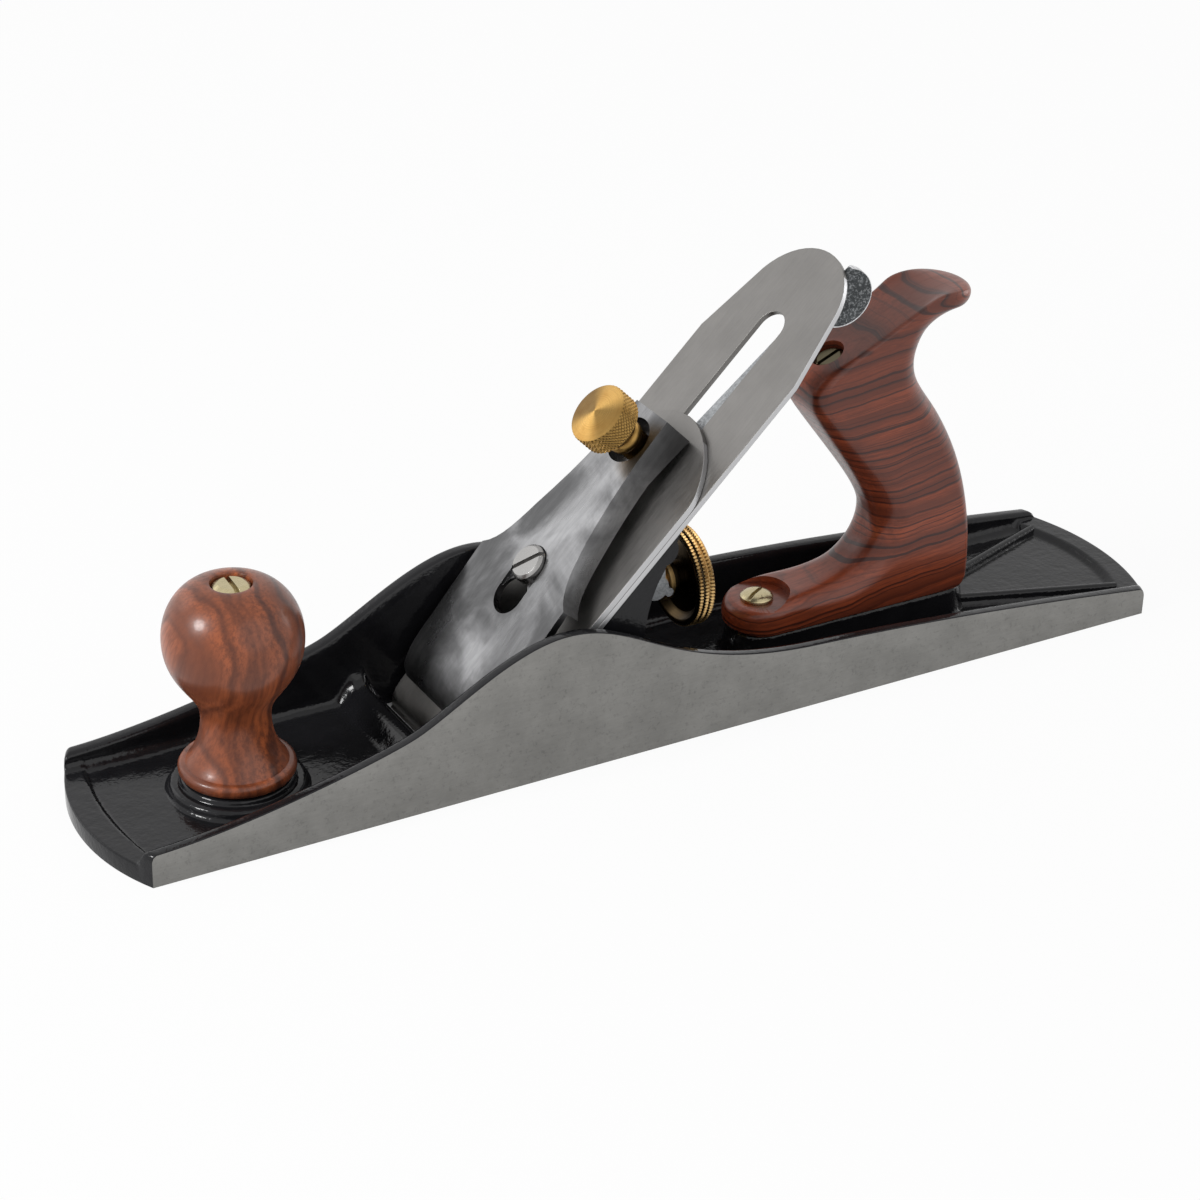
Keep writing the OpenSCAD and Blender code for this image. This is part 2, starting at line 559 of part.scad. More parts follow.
module lever_cap() color(bright) on_bed() difference() {
    intersection() {
        lever_prism(0);
        from_side(iron_w) polygon(concat(lever_top(0), [[lever_top_s, 3.2], [100, 6], [57, 6.4],
            [shoulder_s, lever_cap_h - 3.2], [44, lever_cap_h - 5], [28, 7.6], [22, 6.2],
            [16, lever_tip_n], [lever_tip_s, lever_tip_n]]));
    }
    intersection() {
        lever_prism(2.6);
        from_side(iron_w) polygon([[shoulder_s, -1], [shoulder_s, seat_n - 1.6],
            [94, seat_n - 1.6], [94, -1]]);
    }
    translate([keyhole_s, 0, 0]) cylinder(d = keyhole_d, h = 40);
    obround(keyhole_s, lever_screw_s, lever_screw_d + 0.6, 0, 40);
    obround(keyhole_s, lever_screw_s, keyhole_d, screw_seat_n, 40);
    translate([clamp_s, 0, 0]) cylinder(d = clamp_thread_d + 2 * run_gap, h = 40);
    translate([clamp_s, 0, seat_n]) cylinder(d = 15, h = 40);
}
lever_screw_d = 6;
module lever_cap_screw() color(bright) on_bed() translate([lever_screw_s, 0, 0]) difference() {
    union() {
        translate([0, 0, bed_n - bed_t]) cylinder(d = lever_screw_d, h = screw_seat_n - bed_n + bed_t + 1);
        translate([0, 0, screw_seat_n + face_gap]) cylinder(d = cap_screw_head_d, h = 3.1);
        translate([0, 0, screw_seat_n + face_gap + 3.1])
            cylinder(d1 = cap_screw_head_d, d2 = cap_screw_head_d - 1.8, h = 0.8);
    }
    rotate([0, 0, -35]) translate([-7, -0.7, screw_seat_n + 2.3]) cube([14, 1.4, 3]);
}
clamp_face_n = 29.5;
clamp_shank_n = 18;
module clamp_stud() color(steel) on_bed() translate([clamp_s, 0, cap_n1 + face_gap])
    cylinder(d = clamp_thread_d, h = clamp_shank_n + 5 - cap_n1);
module clamp_knob() color(brass) on_bed() translate([clamp_s, 0, 0]) difference() {
    union() {
        translate([0, 0, seat_n + 0.3]) cylinder(d = 9.2, h = clamp_shank_n - seat_n - 0.3);
        translate([0, 0, clamp_shank_n - 2.2]) cylinder(d = 11, h = 2.2);
        translate([0, 0, clamp_shank_n]) cylinder(d1 = 11, d2 = clamp_head_d - 1.6, h = 4.4);
        translate([0, 0, clamp_shank_n + 4.4])
            cylinder(d = clamp_head_d, h = clamp_face_n - clamp_shank_n - 4.4);
        translate([0, 0, clamp_face_n]) cylinder(d1 = clamp_head_d, d2 = 0.6, h = 1.5);
    }
    cylinder(d = clamp_thread_d + 2 * run_gap, h = clamp_shank_n + 5.2 + face_gap);
}

// Front knob with its rod and nut
knob_top_z = knob_boss_z + knob_h;
ball_z = knob_top_z - 17.2;
nut_d = 10.6;
function knob_half() = concat(
    [[0, knob_boss_z], [14.6, knob_boss_z]],
    tail(bez([[14.6, knob_boss_z], [17.5, knob_boss_z], [17.5, knob_boss_z + 4.4],
        [15.2, knob_boss_z + 4.4]], 6)),
    [[14.6, knob_boss_z + 4.8]],
    tail(bez([[14.6, knob_boss_z + 4.8], [11.6, knob_boss_z + 8.6], [10, knob_boss_z + 13.5],
        [10, knob_boss_z + 19]], 6)),
    tail(bez([[10, knob_boss_z + 19], [10, ball_z - 16], [knob_d / 2, ball_z - 13],
        [knob_d / 2, ball_z]], 8)),
    tail(bez([[knob_d / 2, ball_z], [knob_d / 2, ball_z + 10.2], [13.4, knob_top_z - 0.4],
        [6.6, knob_top_z]], 8)),
    [[0, knob_top_z]]);
module front_knob() color(rosewood) translate([knob_x, 0, 0]) difference() {
    rotate_extrude() polygon(knob_half());
    cylinder(d = knob_rod_d + 0.6, h = 100);
    translate([0, 0, knob_top_z - 6]) cylinder(d = nut_d + 1.2, h = 20);
}
module knob_rod() color(steel) translate([knob_x, 0, 3]) cylinder(d = knob_rod_d, h = knob_top_z - 7);
module slotted_nut(d, h, rod_d) difference() {
    union() {
        translate([0, 0, -h]) cylinder(d = d, h = h);
        cylinder(d1 = d, d2 = d - 3, h = 0.9);
    }
    translate([0, 0, -h - 1]) cylinder(d = rod_d, h = h - 1);
    translate([-d, -0.7, -1]) cube([2 * d, 1.4, 3]);
}
module knob_nut() color(brass) translate([knob_x, 0, knob_top_z - 1]) rotate([0, 0, 86])
    slotted_nut(nut_d, 5, knob_rod_d);

// Tote: side outline as two edges that run from the toe to the horn with the same number of points,
// each point with the reach and depth of its round edge, lofted across the width
function with_round(points, r0, r1) = let (n = len(points) - 1)
    [for (i = [0:n]) [tote_x + points[i][0], tote_z + points[i][1],
        r0 + (r1 - r0) * i / max(n, 1)]];
grip_round = [9, 9];
edge_round = [2.6, 3];
base_round = [1.5, 3];
heel_round = [3, 4];
under_round = [2.4, 8];
tip_round = [1, 3];
toe_round = [2.2, 2.4];
function tote_back_edge() = concat(
    with_round([for (i = [0:8]) [1.6 + 5.6 * i, 0]], base_round, base_round),
    with_round([[57, 0], [68, 0], [76.8, 0]], base_round, base_round),
    with_round(tail(bez([[76.8, 0], [81.2, 0], [83, 3], [83, 8]], 4)), base_round, heel_round),
    with_round(tail(bez([[83, 8], [83, 30], [79, 46.5], [70.6, 60.5]], 6)), heel_round, grip_round),
    with_round(tail(bez([[70.6, 60.5], [65.2, 69], [59.2, 74], [59, 81.5]], 7)), grip_round, grip_round),
    with_round(tail(bez([[59, 81.5], [59, 89.5], [65, 94.3], [76, 96.4]], 7)), grip_round, under_round),
    with_round([[78, 97.2], [79.2, 98.6], [79.5, 99.8]], under_round - [0.8, 2], tip_round));
function tote_front_edge() = concat(
    with_round([[0, 1.6]], base_round, base_round),
    with_round(bez([[0, 5], [0, 7.4], [1.8, 9], [5, 9]], 3), toe_round, toe_round),
    with_round(bez([[15, 11.3], [25, 11.3], [33, 11.8], [39, 14.5]], 3), toe_round + [2, 2], grip_round),
    with_round(tail(bez([[39, 14.5], [47.5, 18], [51, 26.5], [48.5, 33]], 7)), grip_round, grip_round),
    with_round(tail(bez([[48.5, 33], [45, 42], [28, 62], [21.8, 72.1]], 6)),
        grip_round, edge_round + [3, 3]),
    with_round(tail(bez([[21.8, 72.1], [18.3, 82], [27, 84.6], [35.5, 89]], 7)),
        edge_round + [2, 2], edge_round),
    with_round(tail(bez([[35.5, 89], [51, 97], [66, 105.2], [77, 102.6]], 7)), edge_round, edge_round),
    with_round([[78.2, 102.1], [79.1, 101.4], [79.5, 100.6]], edge_round - [1, 0], tip_round));
loft_steps = 4;
module tote_blank() {
    back = tote_back_edge();
    front = tote_front_edge();
    half = len(back);
    n = 2 * half;
    outline = concat(back, [for (i = [half - 1:-1:0]) front[i]]);
    function inward(i) = let (a = outline[(i + n - 1) % n], b = outline[(i + 1) % n],
        d = [b[0] - a[0], b[1] - a[1]]) [-d[1], d[0]] / norm(d);
    function ring(a, side) = [for (i = [0:n - 1])
        let (p = outline[i], m = inward(i), reach = p[2][0] * (1 - sin(a)))
        [p[0] + m[0] * reach, side * (tote_w / 2 - p[2][1] * (1 - cos(a))), p[1] + m[1] * reach]];
    rings = concat([for (k = [0:loft_steps]) ring(90 * k / loft_steps, 1)],
        [for (k = [loft_steps:-1:0]) ring(90 * k / loft_steps, -1)]);
    last = len(rings) - 1;
    polyhedron(points = [for (one = rings) each one], faces = concat(
        [for (i = [0:half - 2]) each [[i, i + 1, n - 2 - i], [i, n - 2 - i, n - 1 - i]]],
        [for (i = [0:half - 2]) let (k = last * n) each [[k + i + 1, k + i, k + n - 2 - i],
            [k + n - 2 - i, k + i, k + n - 1 - i]]],
        [for (k = [0:last - 1], i = [0:n - 1]) let (j = (i + 1) % n) each [
            [k * n + i, (k + 1) * n + i, (k + 1) * n + j], [k * n + i, (k + 1) * n + j, k * n + j]]]));
}
module tote_plan() {
    obround(tote_x + tote_w / 2, tote_x + 200, tote_w, tote_z - 1, 93);
    obround(tote_x, tote_x + 79.4 - tote_w / 2, tote_w, tote_z + 91.5, 20);
}
tote_rod_l = 97;
tote_nut_d = 10.2;
tote_seat_h = 8.6;
module tote() color(rosewood) difference() {
    intersection() {
        tote_blank();
        tote_plan();
    }
    translate([tote_screw_x, 0, tote_z - 5]) cylinder(d = tote_screw_d + 0.6, h = 40);
    translate([tote_screw_x, 0, tote_z + tote_seat_h]) cylinder(d = 20.4, h = 12);
    translate([tote_x - 1, -tote_w / 2 - 1, tote_z + tote_seat_h])
        cube([tote_screw_x - tote_x + 1, tote_w + 2, 12]);
    on_tote_rod() {
        translate([0, 0, -10]) cylinder(d = tote_rod_d + 0.6, h = 140);
        translate([0, 0, tote_rod_l - 4]) cylinder(d = tote_nut_d + 0.4, h = 40);
    }
}
module tote_rod() color(steel) on_tote_rod() translate([0, 0, -3])
    cylinder(d = tote_rod_d, h = tote_rod_l + 2);
module tote_nut() color(brass) on_tote_rod() translate([0, 0, tote_rod_l + 1.6])
    slotted_nut(tote_nut_d, 5.6, tote_rod_d);
module tote_toe_screw() color(brass) translate([tote_screw_x, 0, 0]) rotate([0, 0, 28]) difference() {
    union() {
        translate([0, 0, 5]) cylinder(d = tote_screw_d, h = tote_z + 4);
        translate([0, 0, tote_z + tote_seat_h]) cylinder(d = 10.2, h = 1);
        translate([0, 0, tote_z + tote_seat_h + 1]) cylinder(d1 = 10.2, d2 = 8, h = 0.9);
        translate([0, 0, tote_z + tote_seat_h + 1.9]) cylinder(d1 = 8, d2 = 4.4, h = 0.6);
        translate([0, 0, tote_z + 5]) cylinder(d = tote_screw_d, h = 4);
    }
    translate([-8, -0.6, tote_z + tote_seat_h + 1.3]) cube([16, 1.2, 3]);
}

sole_body();
frog();
frog_screws();
frog_screw_washers();
frog_adjust_clip();
frog_clip_screw();
frog_adjust_screw();
depth_stud();
depth_hub();
depth_wheel();
yoke_lever();
yoke_pin();
lateral_lever();
lateral_button();
lateral_pivot_pin();
cap_iron_screw();
cutting_iron();
cap_iron();
lever_cap();
lever_cap_screw();
clamp_stud();
clamp_knob();
front_knob();
knob_rod();
knob_nut();
tote();
tote_rod();
tote_nut();
tote_toe_screw();
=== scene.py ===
"""Jack plane: a bench plane of jack size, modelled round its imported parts."""

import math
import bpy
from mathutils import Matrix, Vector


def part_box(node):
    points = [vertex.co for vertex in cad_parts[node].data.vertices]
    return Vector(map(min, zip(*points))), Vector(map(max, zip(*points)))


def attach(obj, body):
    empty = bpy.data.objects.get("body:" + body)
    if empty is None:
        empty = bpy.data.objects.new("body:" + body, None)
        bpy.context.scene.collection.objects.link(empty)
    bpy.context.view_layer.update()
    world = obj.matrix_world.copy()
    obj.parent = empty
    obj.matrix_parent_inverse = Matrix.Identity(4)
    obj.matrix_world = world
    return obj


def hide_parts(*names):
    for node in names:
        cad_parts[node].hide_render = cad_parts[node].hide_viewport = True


bl_info = {
    "name": "Jack Plane",
    "version": (1, 0, 0),
    "blender": (4, 5, 0),
    "location": "3D View > Sidebar > Jack Plane",
    "description": "Builds a bench plane of jack size with its finishes, floor, lamps and camera",
    "category": "Add Mesh",
}

import bmesh
import bpy
import numpy as np
from mathutils import Matrix, Vector, noise

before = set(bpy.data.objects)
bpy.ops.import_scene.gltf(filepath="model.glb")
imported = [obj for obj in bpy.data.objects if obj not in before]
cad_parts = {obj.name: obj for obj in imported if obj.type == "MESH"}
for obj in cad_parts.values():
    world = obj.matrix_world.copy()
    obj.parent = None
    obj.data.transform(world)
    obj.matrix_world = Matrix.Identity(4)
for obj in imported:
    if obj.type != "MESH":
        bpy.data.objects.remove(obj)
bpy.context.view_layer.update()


def turned(degrees, axis="Y"):
    """A matrix that turns round an axis."""
    return Matrix.Rotation(math.radians(degrees), 4, axis)


# Main sizes, in millimetres
MM = 0.001
ROOT2 = math.sqrt(2)
TOE_X, HEEL_X = -177.5, 177.5
HALF_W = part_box("sole_body")[1].y / MM
INNER = HALF_W - 4.0
FLOOR = 4.0
EDGE_X = -69.4
KNOB_X, KNOB_Z = -130.0, 8.7
TOTE_X, TOTE_Z = 33.0, 13.0
IRON_W = 50.8
WHEEL_X, WHEEL_Z, WHEEL_R = 12.9, 36.6, 15.7
TAB_X, TAB_Z, TAB_R = 61.6, 121.4, 9.6
BED = Matrix.Translation((EDGE_X, 0, 0)) @ turned(-45)
CLAMP = BED @ Matrix.Translation((106.8, 0, 0))
BED_TURN = (0, 45, 0)


# Finishes
class Signal:
    """A socket of a node. Maths written on it adds Math nodes."""

    def __init__(self, nodes, socket):
        self.nodes = nodes
        self.socket = socket

    def maths(self, operation, first, second=0.0):
        """A Math node on two values or signals."""
        return self.nodes.add("ShaderNodeMath", {"operation": operation}, first, second)

    def __add__(self, other):
        return self.maths("ADD", self, other)

    __radd__ = __add__

    def __sub__(self, other):
        return self.maths("SUBTRACT", self, other)

    def __rsub__(self, other):
        return self.maths("SUBTRACT", other, self)

    def __mul__(self, other):
        return self.maths("MULTIPLY", self, other)

    __rmul__ = __mul__

    def __truediv__(self, other):
        return self.maths("DIVIDE", self, other)

    def __pow__(self, other):
        return self.maths("POWER", self, other)

    def __gt__(self, other):
        return self.maths("GREATER_THAN", self, other)

    def __lt__(self, other):
        return self.maths("LESS_THAN", self, other)

    def __abs__(self):
        return self.maths("ABSOLUTE", self)

    def ramp(self, low, high, start=0.0, end=1.0):
        """start where the signal is below low, end above high, smooth between them."""
        return self.nodes.add("ShaderNodeMapRange", {"interpolation_type": "SMOOTHSTEP"},
                              self, low, high, start, end)


class Nodes:
    """The node tree of a material or the world, emptied and built node by node."""

    def __init__(self, owner):
        owner.use_nodes = True
        self.tree = owner.node_tree
        self.tree.nodes.clear()

    def put(self, socket, value):
        """Links a signal to a socket, or sets a number, a vector or a colour on it."""
        if isinstance(value, Signal):
            self.tree.links.new(value.socket, socket)
        elif hasattr(value, "__len__") and socket.type == "RGBA" and len(value) == 3:
            socket.default_value = (*value, 1.0)
        else:
            socket.default_value = value

    def add(self, kind, settings, *values, out=0, **named):
        """A node with its settings, then the values or links of its sockets."""
        node = self.tree.nodes.new(kind)
        for key, setting in settings.items():
            setattr(node, key, setting)
        for index, value in enumerate(values):
            self.put(node.inputs[index], value)
        for key, value in named.items():
            self.put(node.inputs[key.replace("_", " ")], value)
        return Signal(self, node.outputs[out] if node.outputs else None)

    def seen(self):
        """1 for what the camera sees straight on, in a reflection or through glass."""
        rays = [self.add("ShaderNodeLightPath", {}, out="Is %s Ray" % kind)
                for kind in ("Camera", "Glossy", "Transmission")]
        either = rays[1].maths("MAXIMUM", rays[1], rays[2])
        return either.maths("MAXIMUM", rays[0], either)


class Finish(Nodes):
    """The nodes of a material, with its object coordinates as place."""

    def __init__(self, name):
        self.material = bpy.data.materials.new(name)
        super().__init__(self.material)
        self.place = self.add("ShaderNodeTexCoord", {}, out="Object")

    def axes(self, vector):
        """The three parts of a vector."""
        node = self.add("ShaderNodeSeparateXYZ", {}, vector).socket.node
        return [Signal(self, part) for part in node.outputs]

    def moved(self, scale=(1, 1, 1), turn=(0, 0, 0), at=(0, 0, 0)):
        """Object coordinates, brought to a place, turned back and stretched."""
        shifted = self.add("ShaderNodeVectorMath", {"operation": "SUBTRACT"}, self.place, at)
        level = self.add("ShaderNodeMapping", {}, shifted, Rotation=tuple(math.radians(a) for a in turn))
        return self.add("ShaderNodeVectorMath", {"operation": "MULTIPLY"}, level, scale)

    def clouds(self, scale, detail=3.0, roughness=0.55, vector=None, distortion=0.0):
        """Soft noise from 0 to 1, scale cells to the metre."""
        return self.add("ShaderNodeTexNoise", {}, Vector=vector or self.place, Scale=scale,
                        Detail=detail, Roughness=roughness, Distortion=distortion)

    def streaks(self, detail, roughness, scale, turn=(0, 0, 0)):
        """Soft noise with its own number of cells to the metre along each turned axis."""
        return self.clouds(1.0, detail, roughness, self.moved(scale=scale, turn=turn))

    def rings(self, reach, pitch, detail, roughness):
        """Soft noise that changes along one length only, once in about each pitch in millimetres."""
        return self.add("ShaderNodeTexNoise", {"noise_dimensions": "1D"}, W=reach * (1.0 / (pitch * MM)),
                        Scale=1.0, Detail=detail, Roughness=roughness)

    def toned(self, colour, tone):
        """A colour made darker or lighter by a tone."""
        return self.add("ShaderNodeVectorMath", {"operation": "SCALE"}, colour, Scale=tone)

    def mix(self, factor, first, second):
        """The first colour where the factor is 0, the second where it is 1."""
        mixed = self.add("ShaderNodeMix", {"data_type": "RGBA"}, factor, out=2)
        for index, colour in ((6, first), (7, second)):
            self.put(mixed.socket.node.inputs[index], colour)
        return mixed

    def surface(self, colour, roughness, height, distance, strength=1.0, **sockets):
        """The material with one Principled shader: distance is the bump's depth in millimetres."""
        normal = self.add("ShaderNodeBump", {}, Strength=strength, Distance=distance * MM,
                          Height=height, out="Normal")
        return self.shown(self.add("ShaderNodeBsdfPrincipled", {}, Base_Color=colour,
                                   Roughness=roughness, Normal=normal, **sockets))

    def shown(self, shader):
        """The material with a shader as its surface."""
        self.add("ShaderNodeOutputMaterial", {}, shader)
        return self.material


def japan_layer(finish, paint):
    """Colour, roughness and height of black gloss paint over a lumpy casting."""
    lumps = finish.clouds(150.0, 2.0)
    beads = finish.clouds(620.0, 2.0, 0.6)
    dust = finish.clouds(2600.0, 2.0, 0.7)
    colour = finish.mix(lumps, paint, [min(1.0, part * 1.9) for part in paint])
    rough = lumps.ramp(0.3, 0.7, 0.05, 0.13) + dust * 0.05
    return colour, rough, lumps * 0.4 + beads * 0.42 + dust * 0.03


def japan(paint):
    """Black gloss paint on iron."""
    finish = Finish("black_japan")
    return finish.surface(*japan_layer(finish, paint), 0.3, IOR=1.33)


def ground_layer(finish, colour):
    """Colour, roughness and height of a face ground in long fine strokes."""
    strokes = finish.streaks(3.0, 0.65, (160.0, 1500.0, 1500.0))
    fine = finish.streaks(2.0, 0.7, (432.0, 4050.0, 4050.0))
    stains = finish.clouds(60.0, 6.0, 0.7)
    specks = finish.clouds(800.0, 3.0, 0.7)
    tone = strokes.ramp(0.25, 0.75, 0.95, 1.04) * stains.ramp(0.3, 0.72, 0.86, 1.1)
    tone = tone * specks.ramp(0.3, 0.46, 0.84, 1.02)
    rough = stains.ramp(0.3, 0.7, 0.36, 0.46) + fine * 0.06
    return finish.toned(colour, tone), rough, strokes * 0.6 + fine * 0.4


def casting(paint, bare):
    """Black japan, ground bare on the sole and the two cheeks."""
    finish = Finish("body_casting")
    x, y, z = finish.axes(finish.place)
    paint_colour, paint_rough, paint_height = japan_layer(finish, paint)
    bare_colour, bare_rough, bare_height = ground_layer(finish, bare)
    cheek = abs(y) > (HALF_W - 0.06) * MM
    sole = z < 0.06 * MM
    mask = (cheek + sole) > 0.5
    rough = paint_rough * (1 - mask) + bare_rough * mask
    height = paint_height * (1 - mask) * 0.26 + bare_height * mask * 0.03
    return finish.surface(finish.mix(mask, paint_colour, bare_colour), rough, height, 1.0,
                          Metallic=mask * 0.82, IOR=1.33)


def plated(colour):
    """Cloudy bright plating with soft stains and faint rubbing marks."""
    finish = Finish("cap_plating")
    on_bed = finish.moved(turn=BED_TURN)
    clouds = finish.clouds(40.0, 5.0, 0.55, on_bed, 0.6)
    patches = finish.clouds(24.0, 3.0, 0.5, on_bed, 0.4)
    rubs = finish.streaks(3.0, 0.7, (90.0, 520.0, 520.0), BED_TURN)
    tone = clouds.ramp(0.38, 0.62, 0.42, 0.98) * rubs.ramp(0.3, 0.7, 0.86, 1.06)
    tone = tone * patches.ramp(0.4, 0.6, 0.66, 1.08)
    rough = patches.ramp(0.35, 0.65, 0.2, 0.3) + clouds.ramp(0.3, 0.7, 0.1, 0.0) + rubs * 0.05
    height = clouds * 0.5 + rubs * 0.12
    return finish.surface(finish.toned(colour, tone), rough, height, 0.12, Metallic=1.0)


def brushed(name, colour, roughness, scale, painted_edge_highlight=False):
    """Metal with a grain and stains, and perhaps a painted highlight on its outer edges: scale counts the
    grain's cells.
    """
    finish = Finish(name)
    grain = finish.streaks(4.0, 0.7, scale, BED_TURN)
    stains = finish.clouds(55.0, 4.0, 0.6)
    tone = grain.ramp(0.2, 0.8, 0.9, 1.07) * stains.ramp(0.3, 0.7, 0.92, 1.05)
    shade = finish.toned(colour, tone)
    if painted_edge_highlight:
        # Painted highlight: faces edge-on to the bed and more than 12 mm off the middle get a light grey
        normal = finish.add("ShaderNodeTexCoord", {}, out="Normal")
        facing = finish.add("ShaderNodeVectorMath", {"operation": "DOT_PRODUCT"}, normal,
                            (-1 / ROOT2, 0, 1 / ROOT2), out="Value")
        outer = abs(finish.axes(finish.place)[1]) > 12 * MM
        shade = finish.mix((abs(facing) < 0.55) * outer, shade, (0.5, 0.5, 0.51))
    rough = grain.ramp(0.25, 0.75, roughness - 0.05, roughness + 0.06) + stains * 0.05
    return finish.surface(shade, rough, grain, 0.012, Metallic=1.0)


def rough_steel(name, colour, dark, dark_from, tab=None):
    """Stamped steel, dark and speckled past dark_from on the first axis, with a light ring round a round
    tab's edge.
    """
    finish = Finish(name)
    x, y, z = finish.axes(finish.place)
    grit = finish.clouds(1300.0, 3.0, 0.75)
    stains = finish.clouds(240.0, 4.0, 0.7)
    tone = grit.ramp(0.3, 0.72, 0.8, 1.2) * stains.ramp(0.3, 0.7, 0.8, 1.15)
    speckled = finish.mix(grit.ramp(0.5, 0.62, 0.0, 0.45), dark, (0.34, 0.35, 0.36))
    base = finish.mix(x.ramp(dark_from * MM, (dark_from + 4) * MM), colour, speckled)
    if tab:
        middle_x, middle_z, rim = tab
        reach = ((x - middle_x * MM) ** 2 + (z - middle_z * MM) ** 2) ** 0.5
        base = finish.mix((reach > rim * MM) * (reach < (rim + 0.6) * MM), base, (0.6, 0.6, 0.61))
    rough = grit.ramp(0.3, 0.7, 0.6, 0.42)
    height = grit * 0.6 + stains * 0.4
    return finish.surface(finish.toned(base, tone), rough, height, 0.16, Metallic=0.85)


def turned_brass(name, colour, at, turn, pitch, shaded=0.0):
    """Brass with a lathe's rings round an axis through at, with painted highlight sectors, and nearly black
    painted shade on one side out to the radius shaded.
    """
    finish = Finish(name)
    x, y, z = finish.axes(finish.moved(at=tuple(part * MM for part in at), turn=turn))
    radius = (x * x + y * y) ** 0.5
    rings = finish.rings(radius, pitch, 3.0, 0.75)
    tarnish = finish.clouds(160.0, 4.0, 0.6)
    dark = tuple(part * share for part, share in zip(colour, (0.72, 0.62, 0.48)))
    shade = finish.mix(tarnish.ramp(0.35, 0.75, 0.0, 0.7), colour, dark)
    # Painted highlight: two opposite sectors round the axis are made lighter, times the lathe rings' real
    # tone
    painted_sheen_and_rings = ((x / radius) ** 2).ramp(0.2, 1.0, 0.6, 1.55) * rings.ramp(0.3, 0.7, 0.9, 1.08)
    shade = finish.toned(shade, painted_sheen_and_rings)
    if shaded:
        # Painted shade: the wheel's toe-side face is made nearly black out to the radius shaded
        painted_shade_mask = (radius < shaded * MM) * (z > -2.6 * MM) * (z < 3 * MM)
        shade = finish.mix(painted_shade_mask * 0.93, shade, (0.012, 0.01, 0.008))
    return finish.surface(shade, tarnish.ramp(0.3, 0.7, 0.26, 0.36), rings, 0.02, Metallic=1.0)


def rosewood(name, light, dark, turn, stretch, line_pitch, warp, figure, fibre, rise=None):
    """Dark-figured hardwood: lines lie across the third axis of the turned coordinates.

    figure is where on the noise the dark lines begin and are full, how strong and how fine they are.
    rise is the x and z where the lines begin to climb, the z where they climb in full and fade, and
    how steeply they climb. Wood with a rise is lighter and warmer at its foot: partly the wood's own
    colour, partly painted light on the foot's upward faces.
    """
    finish = Finish(name)
    x, y, z = finish.axes(finish.moved(turn=turn))
    drift = finish.streaks(2.0, 0.5, (22.0, 30.0, 30.0), turn)
    waver = finish.streaks(2.0, 0.5, (90.0, 70.0, 70.0), turn)
    depth = z + (drift - 0.5) * (warp * MM) + (waver - 0.5) * (0.22 * warp * MM)
    begin, full, strength, fineness = figure
    patches = finish.clouds(45.0, 2.0, 0.5).ramp(0.4, 0.7, 0.0, 0.7)
    if rise:
        start_x, start_z, full_z, slope = rise
        strength = z.ramp(full_z * MM, (full_z + 5) * MM, strength, 0.12 * strength)
        # Lighter, warmer foot: partly the wood's colour, partly painted light where the foot's top catches
        # the lamps
        patches = patches + z.ramp(24 * MM, 46 * MM, 1.0, 0.0)
        depth = depth - (x - start_x * MM) * z.ramp(start_z * MM, full_z * MM, 0.0, slope)
    lines = finish.rings(depth, line_pitch, fineness, 0.6)
    bands = finish.rings(depth, line_pitch / 0.3, 1.0, 0.5)
    pores = finish.streaks(3.0, 0.7, stretch, turn)
    middle = tuple(a * 0.5 + b * 0.5 for a, b in zip(light, dark))
    warm = tuple(min(1.0, part * share) for part, share in zip(light, (1.65, 1.6, 1.4)))
    body = finish.mix(patches, light, warm)
    body = finish.mix(bands.ramp(0.35, 0.65, 0.0, 0.85), body, middle)
    body = finish.mix(pores.ramp(0.36, 0.66, 0.0, fibre), body, middle)
    body = finish.mix(lines.ramp(begin, full, 0.0, 1.0) * strength, body, dark)
    rough = pores.ramp(0.4, 0.8, 0.32, 0.46)
    return finish.surface(body, rough, pores * 0.6 + lines * 0.4, 0.06, 0.6,
                          Coat_Weight=0.2, Coat_Roughness=0.13, IOR=1.38)


# Shapes, in millimetres until a piece is settled
def bezier(corners, count):
    """Points along the cubic curve of four corners."""
    a, b, c, d = (Vector(corner) for corner in corners)
    steps = [i / count for i in range(count + 1)]
    return [a * (1 - t) ** 3 + b * 3 * t * (1 - t) ** 2 + c * 3 * t * t * (1 - t) + d * t ** 3
            for t in steps]


def joined(*runs):
    """One run of points from several that meet end to end."""
    points = list(runs[0])
    for run in runs[1:]:
        points.extend(run[1:])
    return points


def step(low, high, value):
    """0 below low, 1 above high, smooth between."""
    t = min(1.0, max(0.0, (value - low) / (high - low)))
    return t * t * (3 - 2 * t)


def soft_max(a, b, blend):
    """The larger of two heights, with a fillet where they cross."""
    overlap = max(blend - abs(a - b), 0.0) / blend
    return max(a, b) + overlap * overlap * blend / 4


def reach_of(point, start, end):
    """Distance from a point to a stretch of a line, in plan."""
    along = end - start
    t = min(1.0, max(0.0, (point - start).dot(along) / along.length_squared))
    return (point - start - along * t).length


def woven(columns, rows, place):
    """A grid whose corner (i, j) goes to place(i, j)."""
    bm = bmesh.new()
    bmesh.ops.create_grid(bm, x_segments=columns - 1, y_segments=rows - 1, size=1.0)
    for vert in bm.verts:
        i = round((vert.co.x + 1) / 2 * (columns - 1))
        j = round((vert.co.y + 1) / 2 * (rows - 1))
        vert.co = place(i, j)
    return bm


